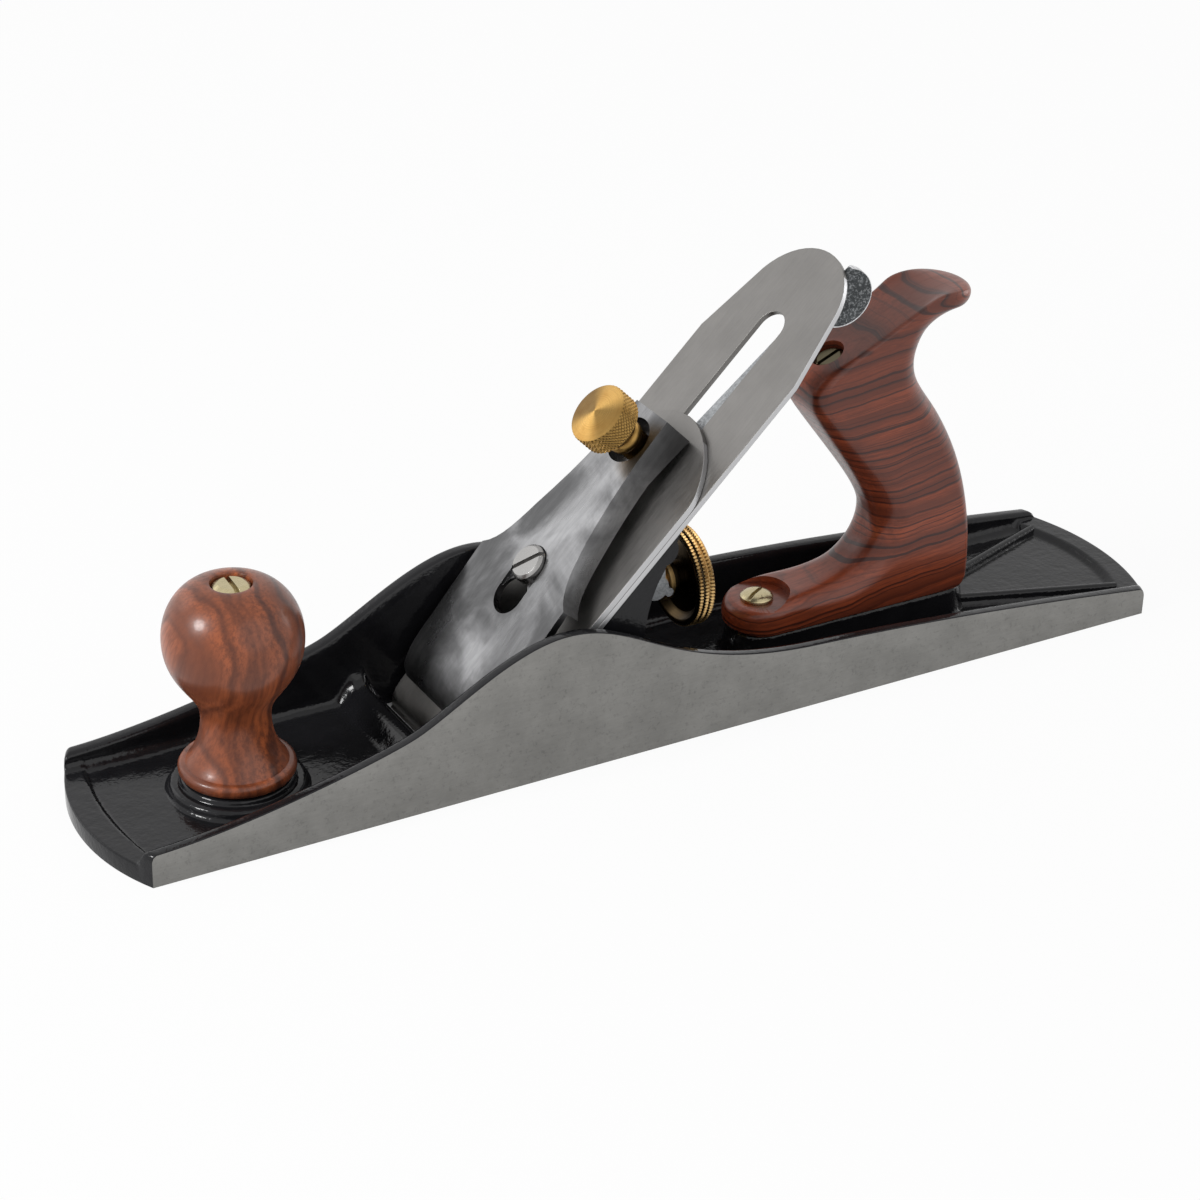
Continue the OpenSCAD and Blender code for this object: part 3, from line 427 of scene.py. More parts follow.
def lathe(profile, steps, matrix=Matrix.Identity(4)):
    """A profile of (radius, height) points turned round the third axis."""
    bm = bmesh.new()
    verts = [bm.verts.new((radius, 0, height)) for radius, height in profile]
    for first, second in zip(verts, verts[1:]):
        bm.edges.new((first, second))
    bmesh.ops.spin(bm, geom=bm.verts[:] + bm.edges[:], cent=(0, 0, 0), axis=(0, 0, 1),
                   angle=2 * math.pi, steps=steps, use_merge=True)
    bmesh.ops.remove_doubles(bm, verts=bm.verts, dist=0.0005)
    bmesh.ops.recalc_face_normals(bm, faces=bm.faces)
    bmesh.ops.transform(bm, matrix=matrix, verts=bm.verts)
    return bm


def prism(outline, depth, matrix=Matrix.Identity(4)):
    """A flat outline of (x, y) points made depth thick along the third axis."""
    bm = bmesh.new()
    face = bm.faces.new([bm.verts.new((x, y, 0)) for x, y in outline])
    sides = bmesh.ops.extrude_face_region(bm, geom=[face])["geom"]
    lifted = [part for part in sides if isinstance(part, bmesh.types.BMVert)]
    bmesh.ops.translate(bm, vec=(0, 0, depth), verts=lifted)
    bmesh.ops.recalc_face_normals(bm, faces=bm.faces)
    bmesh.ops.transform(bm, matrix=matrix, verts=bm.verts)
    return bm


def copied(node):
    """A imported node's mesh, closed up and with its flat faces made whole, in millimetres."""
    bm = bmesh.new()
    bm.from_mesh(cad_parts[node].data)
    bmesh.ops.remove_doubles(bm, verts=bm.verts, dist=3e-6)
    bmesh.ops.scale(bm, vec=(1 / MM,) * 3, verts=bm.verts)
    bmesh.ops.dissolve_limit(bm, angle_limit=math.radians(0.5), verts=bm.verts, edges=bm.edges)
    return bm


def placed(bm, name):
    """A new object in the scene with the shape as its mesh."""
    mesh = bpy.data.meshes.new(name)
    bm.to_mesh(mesh)
    bm.free()
    made = bpy.data.objects.new(name, mesh)
    bpy.context.scene.collection.objects.link(made)
    return made


def discard(made):
    """Removes an object and its mesh."""
    mesh = made.data
    bpy.data.objects.remove(made)
    bpy.data.meshes.remove(mesh)


def joined_shapes(*shapes):
    """Several closed shapes in one mesh."""
    whole = bmesh.new()
    for shape in shapes:
        part = placed(shape, "part")
        whole.from_mesh(part.data)
        discard(part)
    return whole


def evaluated(bm, *modifiers):
    """The mesh after modifiers, each a type and its settings."""
    work = placed(bm, "work")
    for kind, settings in modifiers:
        modifier = work.modifiers.new(kind, kind)
        for key, value in settings.items():
            setattr(modifier, key, value)
    result = work.evaluated_get(bpy.context.evaluated_depsgraph_get())
    made = bmesh.new()
    made.from_mesh(result.to_mesh())
    result.to_mesh_clear()
    discard(work)
    return made


def carved(bm, *tools):
    """The mesh with each tool's shape cut away."""
    cutters = [placed(tool, "cutter") for tool in tools]
    made = evaluated(bm, *[("BOOLEAN", {"object": cutter, "solver": "EXACT"}) for cutter in cutters])
    for cutter in cutters:
        discard(cutter)
    return made


def settle(bm, name, body, material, nodes, bevel=0.0, angle=30.0):
    """Makes the piece, in metres, puts it on what it rides on and hides the imported nodes it stands for.

    A piece with a bevel has its edges rounded and its flat faces shaded flat. Any other is smooth up
    to the angle.
    """
    bmesh.ops.scale(bm, vec=(MM,) * 3, verts=bm.verts)
    for face in bm.faces:
        face.smooth = True
    piece = placed(bm, name)
    piece.data.materials.append(material)
    if bevel:
        rounding = piece.modifiers.new("Rounded edges", "BEVEL")
        rounding.width = bevel * MM
        rounding.segments = 2
        rounding.limit_method = "ANGLE"
        rounding.angle_limit = math.radians(angle)
        level = piece.modifiers.new("Flat faces", "WEIGHTED_NORMAL")
        level.weight = 100
    else:
        piece.data.set_sharp_from_angle(angle=math.radians(angle))
    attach(piece, body)
    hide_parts(*nodes)


# Body casting
WALL_CURVE = joined(
    bezier([(TOE_X, 10.3), (TOE_X + 27.5, 8.6), (EDGE_X - 31.6, 20.9), (EDGE_X - 20.6, 25)], 30),
    bezier([(EDGE_X - 20.6, 25), (EDGE_X - 8.6, 29.5), (EDGE_X + 10.4, 45.5), (EDGE_X + 28.4, 45.5)], 40),
    bezier([(EDGE_X + 28.4, 45.5), (EDGE_X + 52.4, 45.5), (EDGE_X + 61.9, 23.5),
            (EDGE_X + 114.4, 20.8)], 40),
    bezier([(EDGE_X + 114.4, 20.8), (HEEL_X - 87.5, 18.5), (HEEL_X - 47.5, 14.3), (HEEL_X, 7.9)], 30))
WALL_XS = [point.x for point in WALL_CURVE]
WALL_ZS = [point.y for point in WALL_CURVE]
TOE_R = 68.0
HEEL_R = 76.64
BEND = 30.0
CORNER = 2.4
TOE_ARC_X, TOE_ARC_R = TOE_X + 122.3, 114
HEEL_ARC_X, HEEL_ARC_R = HEEL_X - 68, 60
SEAT_X0, SEAT_X1, SEAT_HALF_W, SEAT_H = EDGE_X + 24, EDGE_X + 54.2, 17, 8.0
TOTE_SEAT = (Vector((TOTE_X + 11, 0)), Vector((TOTE_X + 76, 0)))
RIB_ENDS = [(Vector((TOTE_X + 82, 5.0 * side)), Vector((HEEL_X - 11, 22.5 * side))) for side in (-1, 1)]


def floor_height(x, y):
    """Height of the casting's upper side between the walls."""
    toe_edge = TOE_ARC_X - math.sqrt(TOE_ARC_R ** 2 - y * y)
    heel_edge = HEEL_ARC_X + math.sqrt(HEEL_ARC_R ** 2 - y * y)
    height = FLOOR + 1.3 * (1 - step(toe_edge - 0.5, toe_edge + 0.6, x))
    rib = 6.0 * step(EDGE_X - 17.6, EDGE_X - 10.6, x) * (1 - step(EDGE_X - 8.4, EDGE_X - 4.2, x))
    height = soft_max(height, FLOOR + rib, 0.8)
    inside = min(x - SEAT_X0, SEAT_X1 - x, SEAT_HALF_W - abs(y))
    height = max(height, FLOOR + SEAT_H * step(0.0, 1.2, inside))
    from_tote = reach_of(Vector((x, y)), *TOTE_SEAT)
    height = max(height, FLOOR + (TOTE_Z - FLOOR) * (1 - step(9.0, 11.4, from_tote)))
    if x > TOTE_X + 60:
        start, end = RIB_ENDS[1]
        spread = min(1.0, max(0.0, (x - start.x) / (end.x - start.x)))
        half = start.y + (end.y - start.y) * spread
        fan = 1.2 * step(0.0, 1.5, half - abs(y)) * step(-6.0, -2.0, x - start.x)
        height = soft_max(height, FLOOR + fan, 0.4)
        height = soft_max(height, FLOOR + 3.0 * step(heel_edge - 1.6, heel_edge + 1.4, x), 1.0)
    return height


def heel_rib(start, end):
    """One of the two round-topped ribs that fan out behind the tote."""
    along = (end - start).normalized()
    side = bezier([(3.7, -0.6), (2.9, 0.7), (1.9, 0.7), (1.5, 2.4)], 6)
    top = bezier([(1.5, 2.4), (1.3, 3.4), (0.7, 3.6), (0, 3.6)], 5)
    half = joined(side, top)
    outline = half + [(-x, y) for x, y in reversed(half[:-1])]
    axes = Matrix(((-along.y, 0, along.x), (along.x, 0, along.y), (0, 1, 0))).to_4x4()
    return prism(outline, (end - start).length, Matrix.Translation((*start, FLOOR)) @ axes)


def wall_section(height, low, radius):
    """Points across one wall, from its outer edge over the top and down its fillet to the floor."""
    drop = height - 0.9 - (low + radius)
    points = [(HALF_W, height - 0.3), (HALF_W - 0.15, height - 0.08), (HALF_W - 0.6, height),
              (INNER + 1.6, height), (INNER + 0.7, height - 0.2), (INNER + 0.15, height - 0.9)]
    points += [(INNER, height - 0.9 - drop * share) for share in (0.25, 0.5, 0.75)]
    for turn in range(7):
        angle = math.radians(90 * turn / 6)
        points.append((INNER - radius * (1 - math.cos(angle)), low + radius * (1 - math.sin(angle))))
    return points


def body_shell(lumps):
    """The casting's upper surface as one grid, closed down to the flat sole."""
    ends = [0.0, 0.1, 0.3, 0.6, 1.0, 1.5, 2.1, 2.8]
    inner_stations = np.linspace(TOE_X + 3.6, HEEL_X - 3.6, 440)
    stations = [TOE_X + e for e in ends] + list(inner_stations) + [HEEL_X - e for e in reversed(ends)]
    across = 104
    sections = []
    for station in stations:
        near_end = min(station - TOE_X, HEEL_X - station)
        rounding = CORNER - math.sqrt(CORNER ** 2 - max(0.0, CORNER - near_end) ** 2)
        edge_x = bent(station, HALF_W)
        height = np.interp(edge_x, WALL_XS, WALL_ZS) - rounding
        lip = 0.5 - math.sqrt(0.25 - max(0.0, 0.5 - near_end) ** 2)
        radius = 4.0 + 2.5 * step(-20, -9, station - EDGE_X) * (1 - step(-8, 0, station - EDGE_X))
        low = floor_height(bent(station, INNER - radius), INNER - radius) - lip
        radius = min(radius, (height - low - 1.2) * 0.8)
        wall = wall_section(height, low, radius)
        floor_half = INNER - radius
        middle = [(floor_half * (1 - 2 * k / across), None) for k in range(1, across)]
        sections.append((station, lip, wall + middle + [(-y, z) for y, z in reversed(wall)]))
    columns = len(sections[0][2])

    def place(i, j):
        station, lip, points = sections[j]
        y, z = points[i]
        x = bent(station, y)
        if z is None:
            z = floor_height(x, y) - lip
        quiet = step(33.0, 39.0, abs(x - EDGE_X - 24)) * step(0.2, 1.2, HALF_W - abs(y))
        here = Vector((x, y, z))
        swell = noise.noise(here * 0.11) * 0.6 + noise.noise(here * 0.31) * 0.4
        shift = swell * lumps * quiet * step(0.0, 1.5, min(station - TOE_X, HEEL_X - station))
        inward = step(INNER - 3.5, INNER, abs(y))
        return Vector((x, y - math.copysign(shift * inward, y), z + shift * (1 - inward)))

    bm = woven(columns, len(sections), place)
    rim = [edge for edge in bm.edges if edge.is_boundary]
    skirt = bmesh.ops.extrude_edge_only(bm, edges=rim)["geom"]
    for vert in skirt:
        if isinstance(vert, bmesh.types.BMVert):
            vert.co.z = 0.0
    bmesh.ops.holes_fill(bm, edges=[edge for edge in bm.edges if edge.is_boundary], sides=0)
    bmesh.ops.recalc_face_normals(bm, faces=bm.faces)
    return bm


def bent(station, y):
    """X of a station at y: near the two ends the stations curve with the casting's ends."""
    toe_sag = TOE_R - math.sqrt(TOE_R ** 2 - y * y)
    heel_sag = HEEL_R - math.sqrt(HEEL_R ** 2 - y * y)
    toe = toe_sag * max(0.0, 1 - (station - TOE_X) / BEND)
    heel = heel_sag * max(0.0, 1 - (HEEL_X - station) / BEND)
    return station + toe - heel


def bed_x(z, n):
    """X at a height on the plane that stands n proud of the bed."""
    return EDGE_X + z - n * ROOT2


def mouth_tool(side=2.3, gap=2.5, bed_n=-1.85):
    """The mouth's cut through the sole, a little wider than the irons."""
    outline = [(EDGE_X - gap, -1), (EDGE_X - gap, FLOOR - 1), (EDGE_X - gap - 4, 12),
               (bed_x(12, bed_n) + 1.4, 12), (bed_x(-1, bed_n) + 1.4, -1)]
    upright = Matrix.Translation((0, IRON_W / 2 + side, 0)) @ turned(90, "X")
    return prism(outline, IRON_W + 2 * side, upright)


def knob_boss():
    """The stepped round boss under the front knob."""
    outer = bezier([(21.6, 3.9), (20.4, 4.2), (19.9, 4.8), (19.8, 5.4)], 5)
    roll = bezier([(19.8, 5.4), (19.8, 7.1), (18.2, 7.5), (16.9, 7.2)], 8)
    top = KNOB_Z - 0.01
    step_up = bezier([(16.9, 7.2), (16.5, 7.4), (16.6, top), (15.6, top)], 6)
    profile = [(0, 2.6), (21.6, 2.6)] + joined(outer, roll, step_up) + [(0, top)]
    return lathe(profile, 96, Matrix.Translation((KNOB_X, 0, 0)))


# Turned and knurled pieces
def knob_profile(base=KNOB_Z, height=60.8, ball=20.0):
    """The knob's outline from its foot over the ball and down the nut's bore."""
    top = base + height
    ball_z = top - 17.2
    return joined(
        [(3.3, base), (14.2, base)],
        bezier([(14.2, base), (17.6, base), (17.6, base + 4.4), (15.3, base + 4.4)], 12),
        [(15.3, base + 4.4), (14.75, base + 4.45), (14.5, base + 4.9)],
        bezier([(14.5, base + 4.9), (11.6, base + 8.6), (10, base + 13.5), (10, base + 19)], 14),
        bezier([(10, base + 19), (10, ball_z - 16), (ball, ball_z - 13), (ball, ball_z)], 20),
        bezier([(ball, ball_z), (ball, ball_z + 10.2), (13.4, top - 0.4), (6.6, top)], 22),
        [(6.6, top), (6.1, top - 0.15), (5.9, top - 0.5), (5.9, top - 6), (3.3, top - 6), (3.3, base)])


def knurled(bm, teeth, depth, amount, matrix):
    """The shape pushed in between its teeth, as much as amount(radius, z) says, and put in place."""
    for vert in bm.verts:
        radius = math.hypot(vert.co.x, vert.co.y)
        share = amount(radius, vert.co.z)
        if share > 0:
            angle = math.atan2(vert.co.y, vert.co.x) * teeth / (2 * math.pi)
            vert.co.xy *= 1 - depth(angle, vert.co.z) * share / radius
    bmesh.ops.transform(bm, matrix=matrix, verts=bm.verts)
    return bm


def saw(value):
    """A triangle wave from 0 to 1 and back, once for each whole number."""
    return abs(2 * (value - math.floor(value)) - 1)


def wheel_rim(matrix, radius=WHEEL_R, width=5.8, teeth=88):
    """The depth wheel: a dished disc with three knurled bands round its rim."""
    band = width / 3
    profile = [(4.65, 1.7), (6.2, 1.5), (7.6, 1.75), (11.4, 2.3), (12.6, 1.6), (13.3, 0.5), (13.8, 0.1),
               (14.6, 0.0)]
    for k in range(3):
        low = k * band
        profile += [(radius - 0.75, low + 0.1), (radius - 0.3, low + 0.28), (radius, low + 0.6),
                    (radius, low + band / 2), (radius, low + band - 0.6), (radius - 0.3, low + band - 0.28),
                    (radius - 0.75, low + band - 0.1)]
    profile += [(14.4, width), (13.0, width), (12.2, width - 0.5), (9.5, width - 0.7), (6.6, width - 0.55),
                (5.4, width), (4.65, width), (4.65, 1.7)]

    def ridges(angle, z):
        return 0.5 * saw(angle + 0.06 * math.sin(z * 2.2))

    def on_band(reach, z):
        return step(radius - 0.7, radius - 0.2, reach)

    return knurled(lathe(profile, teeth * 4), teeth, ridges, on_band, matrix)


def thumbscrew(shank=18.0, face=29.5, radius=9.7, teeth=44):
    """The clamp's head: a bead and taper under a diamond-knurled rim with a shallow cone on it."""
    bead = bezier([(4.6, shank - 3.6), (5.7, shank - 3.2), (5.8, shank - 0.6), (4.9, shank - 0.1)], 8)
    profile = [(3.25, 9.7), (4.6, 9.7), (4.6, shank - 3.6)] + bead
    taper = [(4.9 + (radius - 0.9 - 4.9) * k / 14, shank - 0.1 + 4.4 * k / 14) for k in range(1, 15)]
    rim = [(radius, shank + 4.7 + (face - 0.35 - shank - 4.7) * k / 22) for k in range(23)]
    profile += taper + rim + [(radius - 0.35, face), (radius - 0.9, face + 0.12)]
    profile += [(part, face + 1.5 * (1 - part / radius) + 0.02) for part in (7.5, 6, 4.5, 3, 1.6, 0.7)]
    profile += [(0, face + 1.5), (0, shank + 5.3), (3.25, shank + 5.3), (3.25, 9.7)]

    def diamonds(angle, z):
        turns = z / 1.35
        return 0.55 * (saw(angle + turns) + saw(angle - turns)) / 2

    def on_rim(reach, z):
        return (step(4.5, 5.5, reach) * step(shank + 0.6, shank + 2.2, z)
                * (1 - step(face - 0.3, face, z)))

    return knurled(lathe(profile, teeth * 6), teeth, diamonds, on_rim, CLAMP)


# Tote
def rounded(points, start, end):
    """Points of the side outline, each with the reach and depth of its round edge."""
    last = max(len(points) - 1, 1)
    return [(TOTE_X + p[0], TOTE_Z + p[1], start[0] + (end[0] - start[0]) * i / last,
             start[1] + (end[1] - start[1]) * i / last) for i, p in enumerate(points)]


GRIP = (9, 9)
EDGE = (1.3, 1.6)
BASE = (1.5, 3)
HEEL = (3, 4)
TOE = (2.2, 2.4)
SEAT_Z = TOTE_Z + 8.6
SCREW_X = TOTE_X + 10.5


def tote_back():
    """The tote's outline along its foot and up the back of the grip to the horn's tip."""
    return (rounded([(1.6 + 5.6 * i, 0) for i in range(9)], BASE, BASE)
            + rounded([(57, 0), (68, 0), (76.8, 0)], BASE, BASE)
            + rounded(bezier([(76.8, 0), (81.2, 0), (83, 3), (83, 8)], 4)[1:], BASE, HEEL)
            + rounded(bezier([(83, 8), (83, 30), (79, 46.5), (70.6, 60.5)], 6)[1:], HEEL, GRIP)
            + rounded(bezier([(70.6, 60.5), (65.2, 69), (59.2, 74), (59, 81.5)], 7)[1:], GRIP, GRIP)
            + rounded(bezier([(59, 81.5), (59, 89.5), (65, 94.3), (76, 96.4)], 7)[1:], GRIP, (2.4, 8))
            + rounded([(78, 97.2), (79.2, 98.6), (79.5, 99.8)], (1.6, 6), (1, 3)))


def tote_front():
    """The tote's outline over its toe and up the front of the grip to the horn's tip."""
    return (rounded([(0, 1.6)], BASE, BASE)
            + rounded(bezier([(0, 5), (0, 7.4), (1.8, 9), (5, 9)], 3), TOE, TOE)
            + rounded(bezier([(15, 11.3), (25, 11.3), (33, 11.8), (39, 14.5)], 3), (4.2, 4.4), GRIP)
            + rounded(bezier([(39, 14.5), (47.5, 18), (51, 26.5), (48.5, 33)], 7)[1:], GRIP, GRIP)
            + rounded(bezier([(48.5, 33), (45, 42), (28, 62), (21.8, 72.1)], 6)[1:], GRIP, (5.6, 6))
            + rounded(bezier([(21.8, 72.1), (18.3, 82), (27, 84.6), (35.5, 89)], 7)[1:], (4.6, 5), EDGE)
            + rounded(bezier([(35.5, 89), (51, 97), (66, 105.2), (77, 102.6)], 7)[1:], EDGE, EDGE)
            + rounded([(78.2, 102.1), (79.1, 101.4), (79.5, 100.6)], (1.6, 3), (1, 3)))


def tote_shape(width=23.0):
    """The tote: its side outline lofted across the width, then rounded in plan at the toe and the horn."""
    back, front = tote_back(), tote_front()
    outline = back + front[::-1]
    count = len(outline)
    near_edge = [(90 * k / 6, 1) for k in range(7)]
    rings = near_edge + [(90, 0.5), (90, 0), (90, -0.5)] + [(angle, -1) for angle, side in near_edge[::-1]]

    def place(i, j):
        angle, side = rings[j]
        x, z, reach, depth = outline[i % count]
        before, after = outline[i - 1], outline[(i + 1) % count]
        inward = Vector((-(after[1] - before[1]), after[0] - before[0])).normalized()
        reach *= 1 - math.sin(math.radians(angle))
        half = width / 2 - depth * (1 - math.cos(math.radians(angle)))
        return Vector((x + inward.x * reach, side * half, z + inward.y * reach))

    bm = woven(count + 1, len(rings), place)
    bmesh.ops.remove_doubles(bm, verts=bm.verts, dist=0.001)
    half = len(back)
    bm.verts.ensure_lookup_table()
    for j in (0, len(rings) - 1):
        ring = [place(i, j) for i in range(count)]
        flat = [vert for vert in bm.verts if abs(vert.co.y - ring[0].y) < 6]
        near = [min(flat, key=lambda vert: (vert.co - point).length) for point in ring]
        for i in range(half - 1):
            corners = [near[i], near[i + 1], near[count - 2 - i], near[count - 1 - i]]
            if len(set(corners)) > 2:
                bm.faces.new(list(dict.fromkeys(corners)))
    bmesh.ops.recalc_face_normals(bm, faces=bm.faces)
    bm = evaluated(bm, ("SUBSURF", {"levels": 2, "render_levels": 2}))
    round_r = width / 2
    for vert in bm.verts:
        x, y, z = vert.co.x - TOTE_X, vert.co.y, vert.co.z - TOTE_Z
        sag = round_r - math.sqrt(max(0.0, round_r ** 2 - y * y))
        toe = sag * max(0.0, 1 - x / 26) * (1 - step(14, 30, z))
        horn = sag * step(-30, -2, x - 79.4) * step(84, 93, z)
        vert.co.x += toe - horn
    return bm


def tote_bores():
    """Cutters for the rod's bore, the toe screw's hole and the flat seat round its head."""
    rod = Matrix.Translation((TOTE_X + 71, 0, TOTE_Z - 6)) @ turned(-23.4)
    seat = prism([(TOTE_X - 1, -14), (SCREW_X, -14), (SCREW_X, 14), (TOTE_X - 1, 14)], 12,
                 Matrix.Translation((0, 0, SEAT_Z)))
    return [lathe([(0, -10), (3.1, -10), (3.1, 93), (5.3, 93), (5.3, 140), (0, 140)], 48, rod),
            lathe([(0, -14), (2.7, -14), (2.7, 0), (10.2, 0), (10.2, 12), (0, 12)], 64,
                  Matrix.Translation((SCREW_X, 0, SEAT_Z))), seat]


def threaded(radius, low, high, pitch, matrix, steps=36):
    """A rod with a cut thread and a chamfered end."""
    rows = round((high - low) / pitch * 6)
    side = [(radius, low + (high - low) * k / rows) for k in range(rows + 1)]

    def groove(angle, z):
        return 0.36 * saw(angle + z / pitch) + 0.5 * step(high - 0.8, high, z)

    def on_side(reach, z):
        return float(reach > radius - 0.1)

    return knurled(lathe([(0, low)] + side + [(0, high)], steps), 1, groove, on_side, matrix)


# Settings
def colour_setting(name, what, default):
    """A colour that the sidebar shows."""
    return bpy.props.FloatVectorProperty(name=name, description="Colour of the " + what, size=3,
                                         subtype="COLOR", min=0.0, max=1.0, default=default)


class CastingSettings(bpy.types.PropertyGroup):
    """Colours of the iron castings and how lumpy they are"""
    paint: colour_setting("Japan", "black japan", (0.007, 0.007, 0.008))
    bare: colour_setting("Bare iron", "ground sole and cheeks", (0.2, 0.197, 0.187))
    lumps: bpy.props.FloatProperty(name="Lumps", description="Height of the casting's lumps",
                                   default=0.00009, min=0.0, max=0.001, unit="LENGTH")


class MetalSettings(bpy.types.PropertyGroup):
    """Colours of the metal pieces"""
    plating: colour_setting("Plating", "lever cap's plating", (0.35, 0.35, 0.357))
    iron: colour_setting("Irons", "two irons", (0.21, 0.203, 0.195))
    steel: colour_setting("Steel", "screws and pins", (0.3, 0.294, 0.288))
    stamped: colour_setting("Stamped steel", "lateral lever and the yoke", (0.3, 0.31, 0.32))
    tab: colour_setting("Thumb tab", "lateral lever's tab", (0.06, 0.065, 0.068))
    brass: colour_setting("Brass", "thumbscrew", (0.43, 0.26, 0.08))
    wheel: colour_setting("Wheel", "depth wheel and its hub", (0.66, 0.44, 0.19))
    nuts: colour_setting("Nuts", "handles' nuts and screws", (0.5, 0.43, 0.26))


class WoodSettings(bpy.types.PropertyGroup):
    """Colours of the two handles"""
    light: colour_setting("Tote", "tote between its dark lines", (0.205, 0.043, 0.018))
    knob: colour_setting("Knob", "knob between its dark lines", (0.31, 0.084, 0.032))
    dark: colour_setting("Figure", "wood's dark lines", (0.024, 0.007, 0.006))


# Finishes that several pieces share, made when the first piece asks
FINISHES = {}


def finish_named(name):
    """The material of a finish, in the colours that the settings give."""
    if name not in FINISHES:
        scene = bpy.context.scene
        cast, metal, wood = scene.plane_casting, scene.plane_metal, scene.plane_wood
        strokes = (300.0, 1200.0, 300.0)
        makers = {
            "japan": (japan, cast.paint),
            "casting": (casting, cast.paint, cast.bare),
            "plating": (plated, metal.plating),
            # The irons' last value turns on the painted highlight along their outer edges
            "iron": (brushed, "iron_steel", metal.iron, 0.4, (120.0, 1800.0, 1800.0), True),
            "steel": (brushed, "turned_steel", metal.steel, 0.26, (400.0, 900.0, 400.0)),
            "nut_brass": (brushed, "nut_brass", metal.nuts, 0.25, strokes),
            # The tote's rod nut: a darkened copy of the nut brass, painted shade for the deep bore it sits
            # in
            "dull_brass": (brushed, "dull_brass", metal.nuts * 0.22, 0.3, strokes),
            "lateral": (rough_steel, "lateral_steel", metal.stamped, metal.tab, 48,
                        (TAB_X, TAB_Z, TAB_R - 0.35)),
            "yoke": (rough_steel, "yoke_steel", metal.stamped, metal.tab, 100),
            # The wheel's brass gets painted shade on its toe side out to the last number here, and painted
            # highlight sectors
            "wheel_brass": (turned_brass, "wheel_brass", metal.wheel, (WHEEL_X, 0, WHEEL_Z),
                            (0, -90, 0), 0.5, WHEEL_R - 0.4),
            # The thumbscrew's brass gets painted highlight sectors round its axis, as the wheel's does
            "screw_brass": (turned_brass, "thumbscrew_brass", metal.brass, CLAMP.translation,
                            BED_TURN, 0.35),
            "knob_wood": (rosewood, "knob_rosewood", wood.knob, wood.dark, (0, 90, 25),
                          (26.0, 900.0, 900.0), 4.5, 20.0, (0.38, 0.78, 0.7, 1.0), 0.9),
            "tote_wood": (rosewood, "tote_rosewood", wood.light, wood.dark, (0, 6, 0),
                          (90.0, 700.0, 1100.0), 1.6, 8.0, (0.5, 0.66, 0.86, 3.0), 0.6,
                          (60, 92, 104, 0.45))}
        maker, *values = makers[name]
        FINISHES[name] = maker(*values)
    return FINISHES[name]


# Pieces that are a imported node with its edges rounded: piece, body, slot, finish, rounding
EASED = {
    "frog": [("frog_casting", "frog", "frog", "japanned_iron", "japan", 0.7)],
    "frog_fittings": [
        ("frog_clip", "frog", "frog_adjust_clip", "small_steel", "steel", 0.2),
        ("frog_clip_screw_head", "frog", "frog_clip_screw", "small_steel", "steel", 0.2),
        ("frog_adjuster_screw", "frog_adjuster", "frog_adjust_screw", "small_steel", "steel", 0.2)],
    "yoke": [
        ("yoke_fork", "yoke", "yoke_lever", "dark_steel", "yoke", 0.35),
        ("yoke_hinge_pin", "frog", "yoke_pin", "small_steel", "steel", 0.25)],
    "lateral": [
        ("lateral_lever_arm", "lateral_lever", "lateral_lever", "dark_steel", "lateral", 0.5),
        ("lateral_lever_button", "lateral_lever", "lateral_button", "small_steel", "steel", 0.3),
        ("lateral_lever_pivot", "frog", "lateral_pivot_pin", "small_steel", "steel", 0.2)],
    "irons": [
        ("cutter", "iron_pack", "cutting_iron", "iron_steel", "iron", 0.22),
        ("chip_breaker", "iron_pack", "cap_iron", "iron_steel", "iron", 0.4),
        ("chip_breaker_screw", "iron_carriage", "cap_iron_screw", "small_steel", "steel", 0.3)],
    "lever_cap": [
        ("lever_cap_casting", "lever_cap", "lever_cap", "plated_cap", "plating", 0.45),
        ("lever_cap_hook_screw", "frog", "lever_cap_screw", "small_steel", "steel", 0.35)],
    "nuts": [
        ("front_knob_nut", "sole", "knob_nut", "brass", "nut_brass", 0.25),
        # The tote's rod nut takes the darkened brass: painted shade for its deep bore
        ("tote_rod_nut", "sole", "tote_nut", "brass", "dull_brass", 0.25),
        ("tote_front_screw", "sole", "tote_toe_screw", "brass", "nut_brass", 0.3)],
}
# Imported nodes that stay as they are, in steel
KEPT = ("frog_screws", "frog_screw_washers", "knob_rod", "tote_rod")


def ease(group):
    """Makes a group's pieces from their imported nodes."""
    for name, body, node, slot, finish, bevel in EASED[group]:
        settle(copied(node), name, body, finish_named(finish), (node,), bevel=bevel)
    return {"FINISHED"}


class PLANE_OT_body(bpy.types.Operator):
    """Body casting: walls, floor, front rib, seats, heel ribs, mouth and the knob's boss"""
    bl_idname = "plane.body"
    bl_label = "Body casting"

    def execute(self, context):
        shell = carved(body_shell(context.scene.plane_casting.lumps / MM), mouth_tool())
        ribs = [heel_rib(start, end) for start, end in RIB_ENDS]
        settle(joined_shapes(shell, knob_boss(), *ribs), "body_casting", "sole",
               finish_named("casting"), ("sole_body",), angle=50)
        return {"FINISHED"}


class PLANE_OT_frog(bpy.types.Operator):
    """Frog with its clamping and adjusting screws"""
    bl_idname = "plane.frog"
    bl_label = "Frog"

    def execute(self, context):
        ease("frog")
        for node in KEPT:
            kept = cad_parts[node]
            kept.data.materials.clear()
            kept.data.materials.append(finish_named("steel"))
        return ease("frog_fittings")


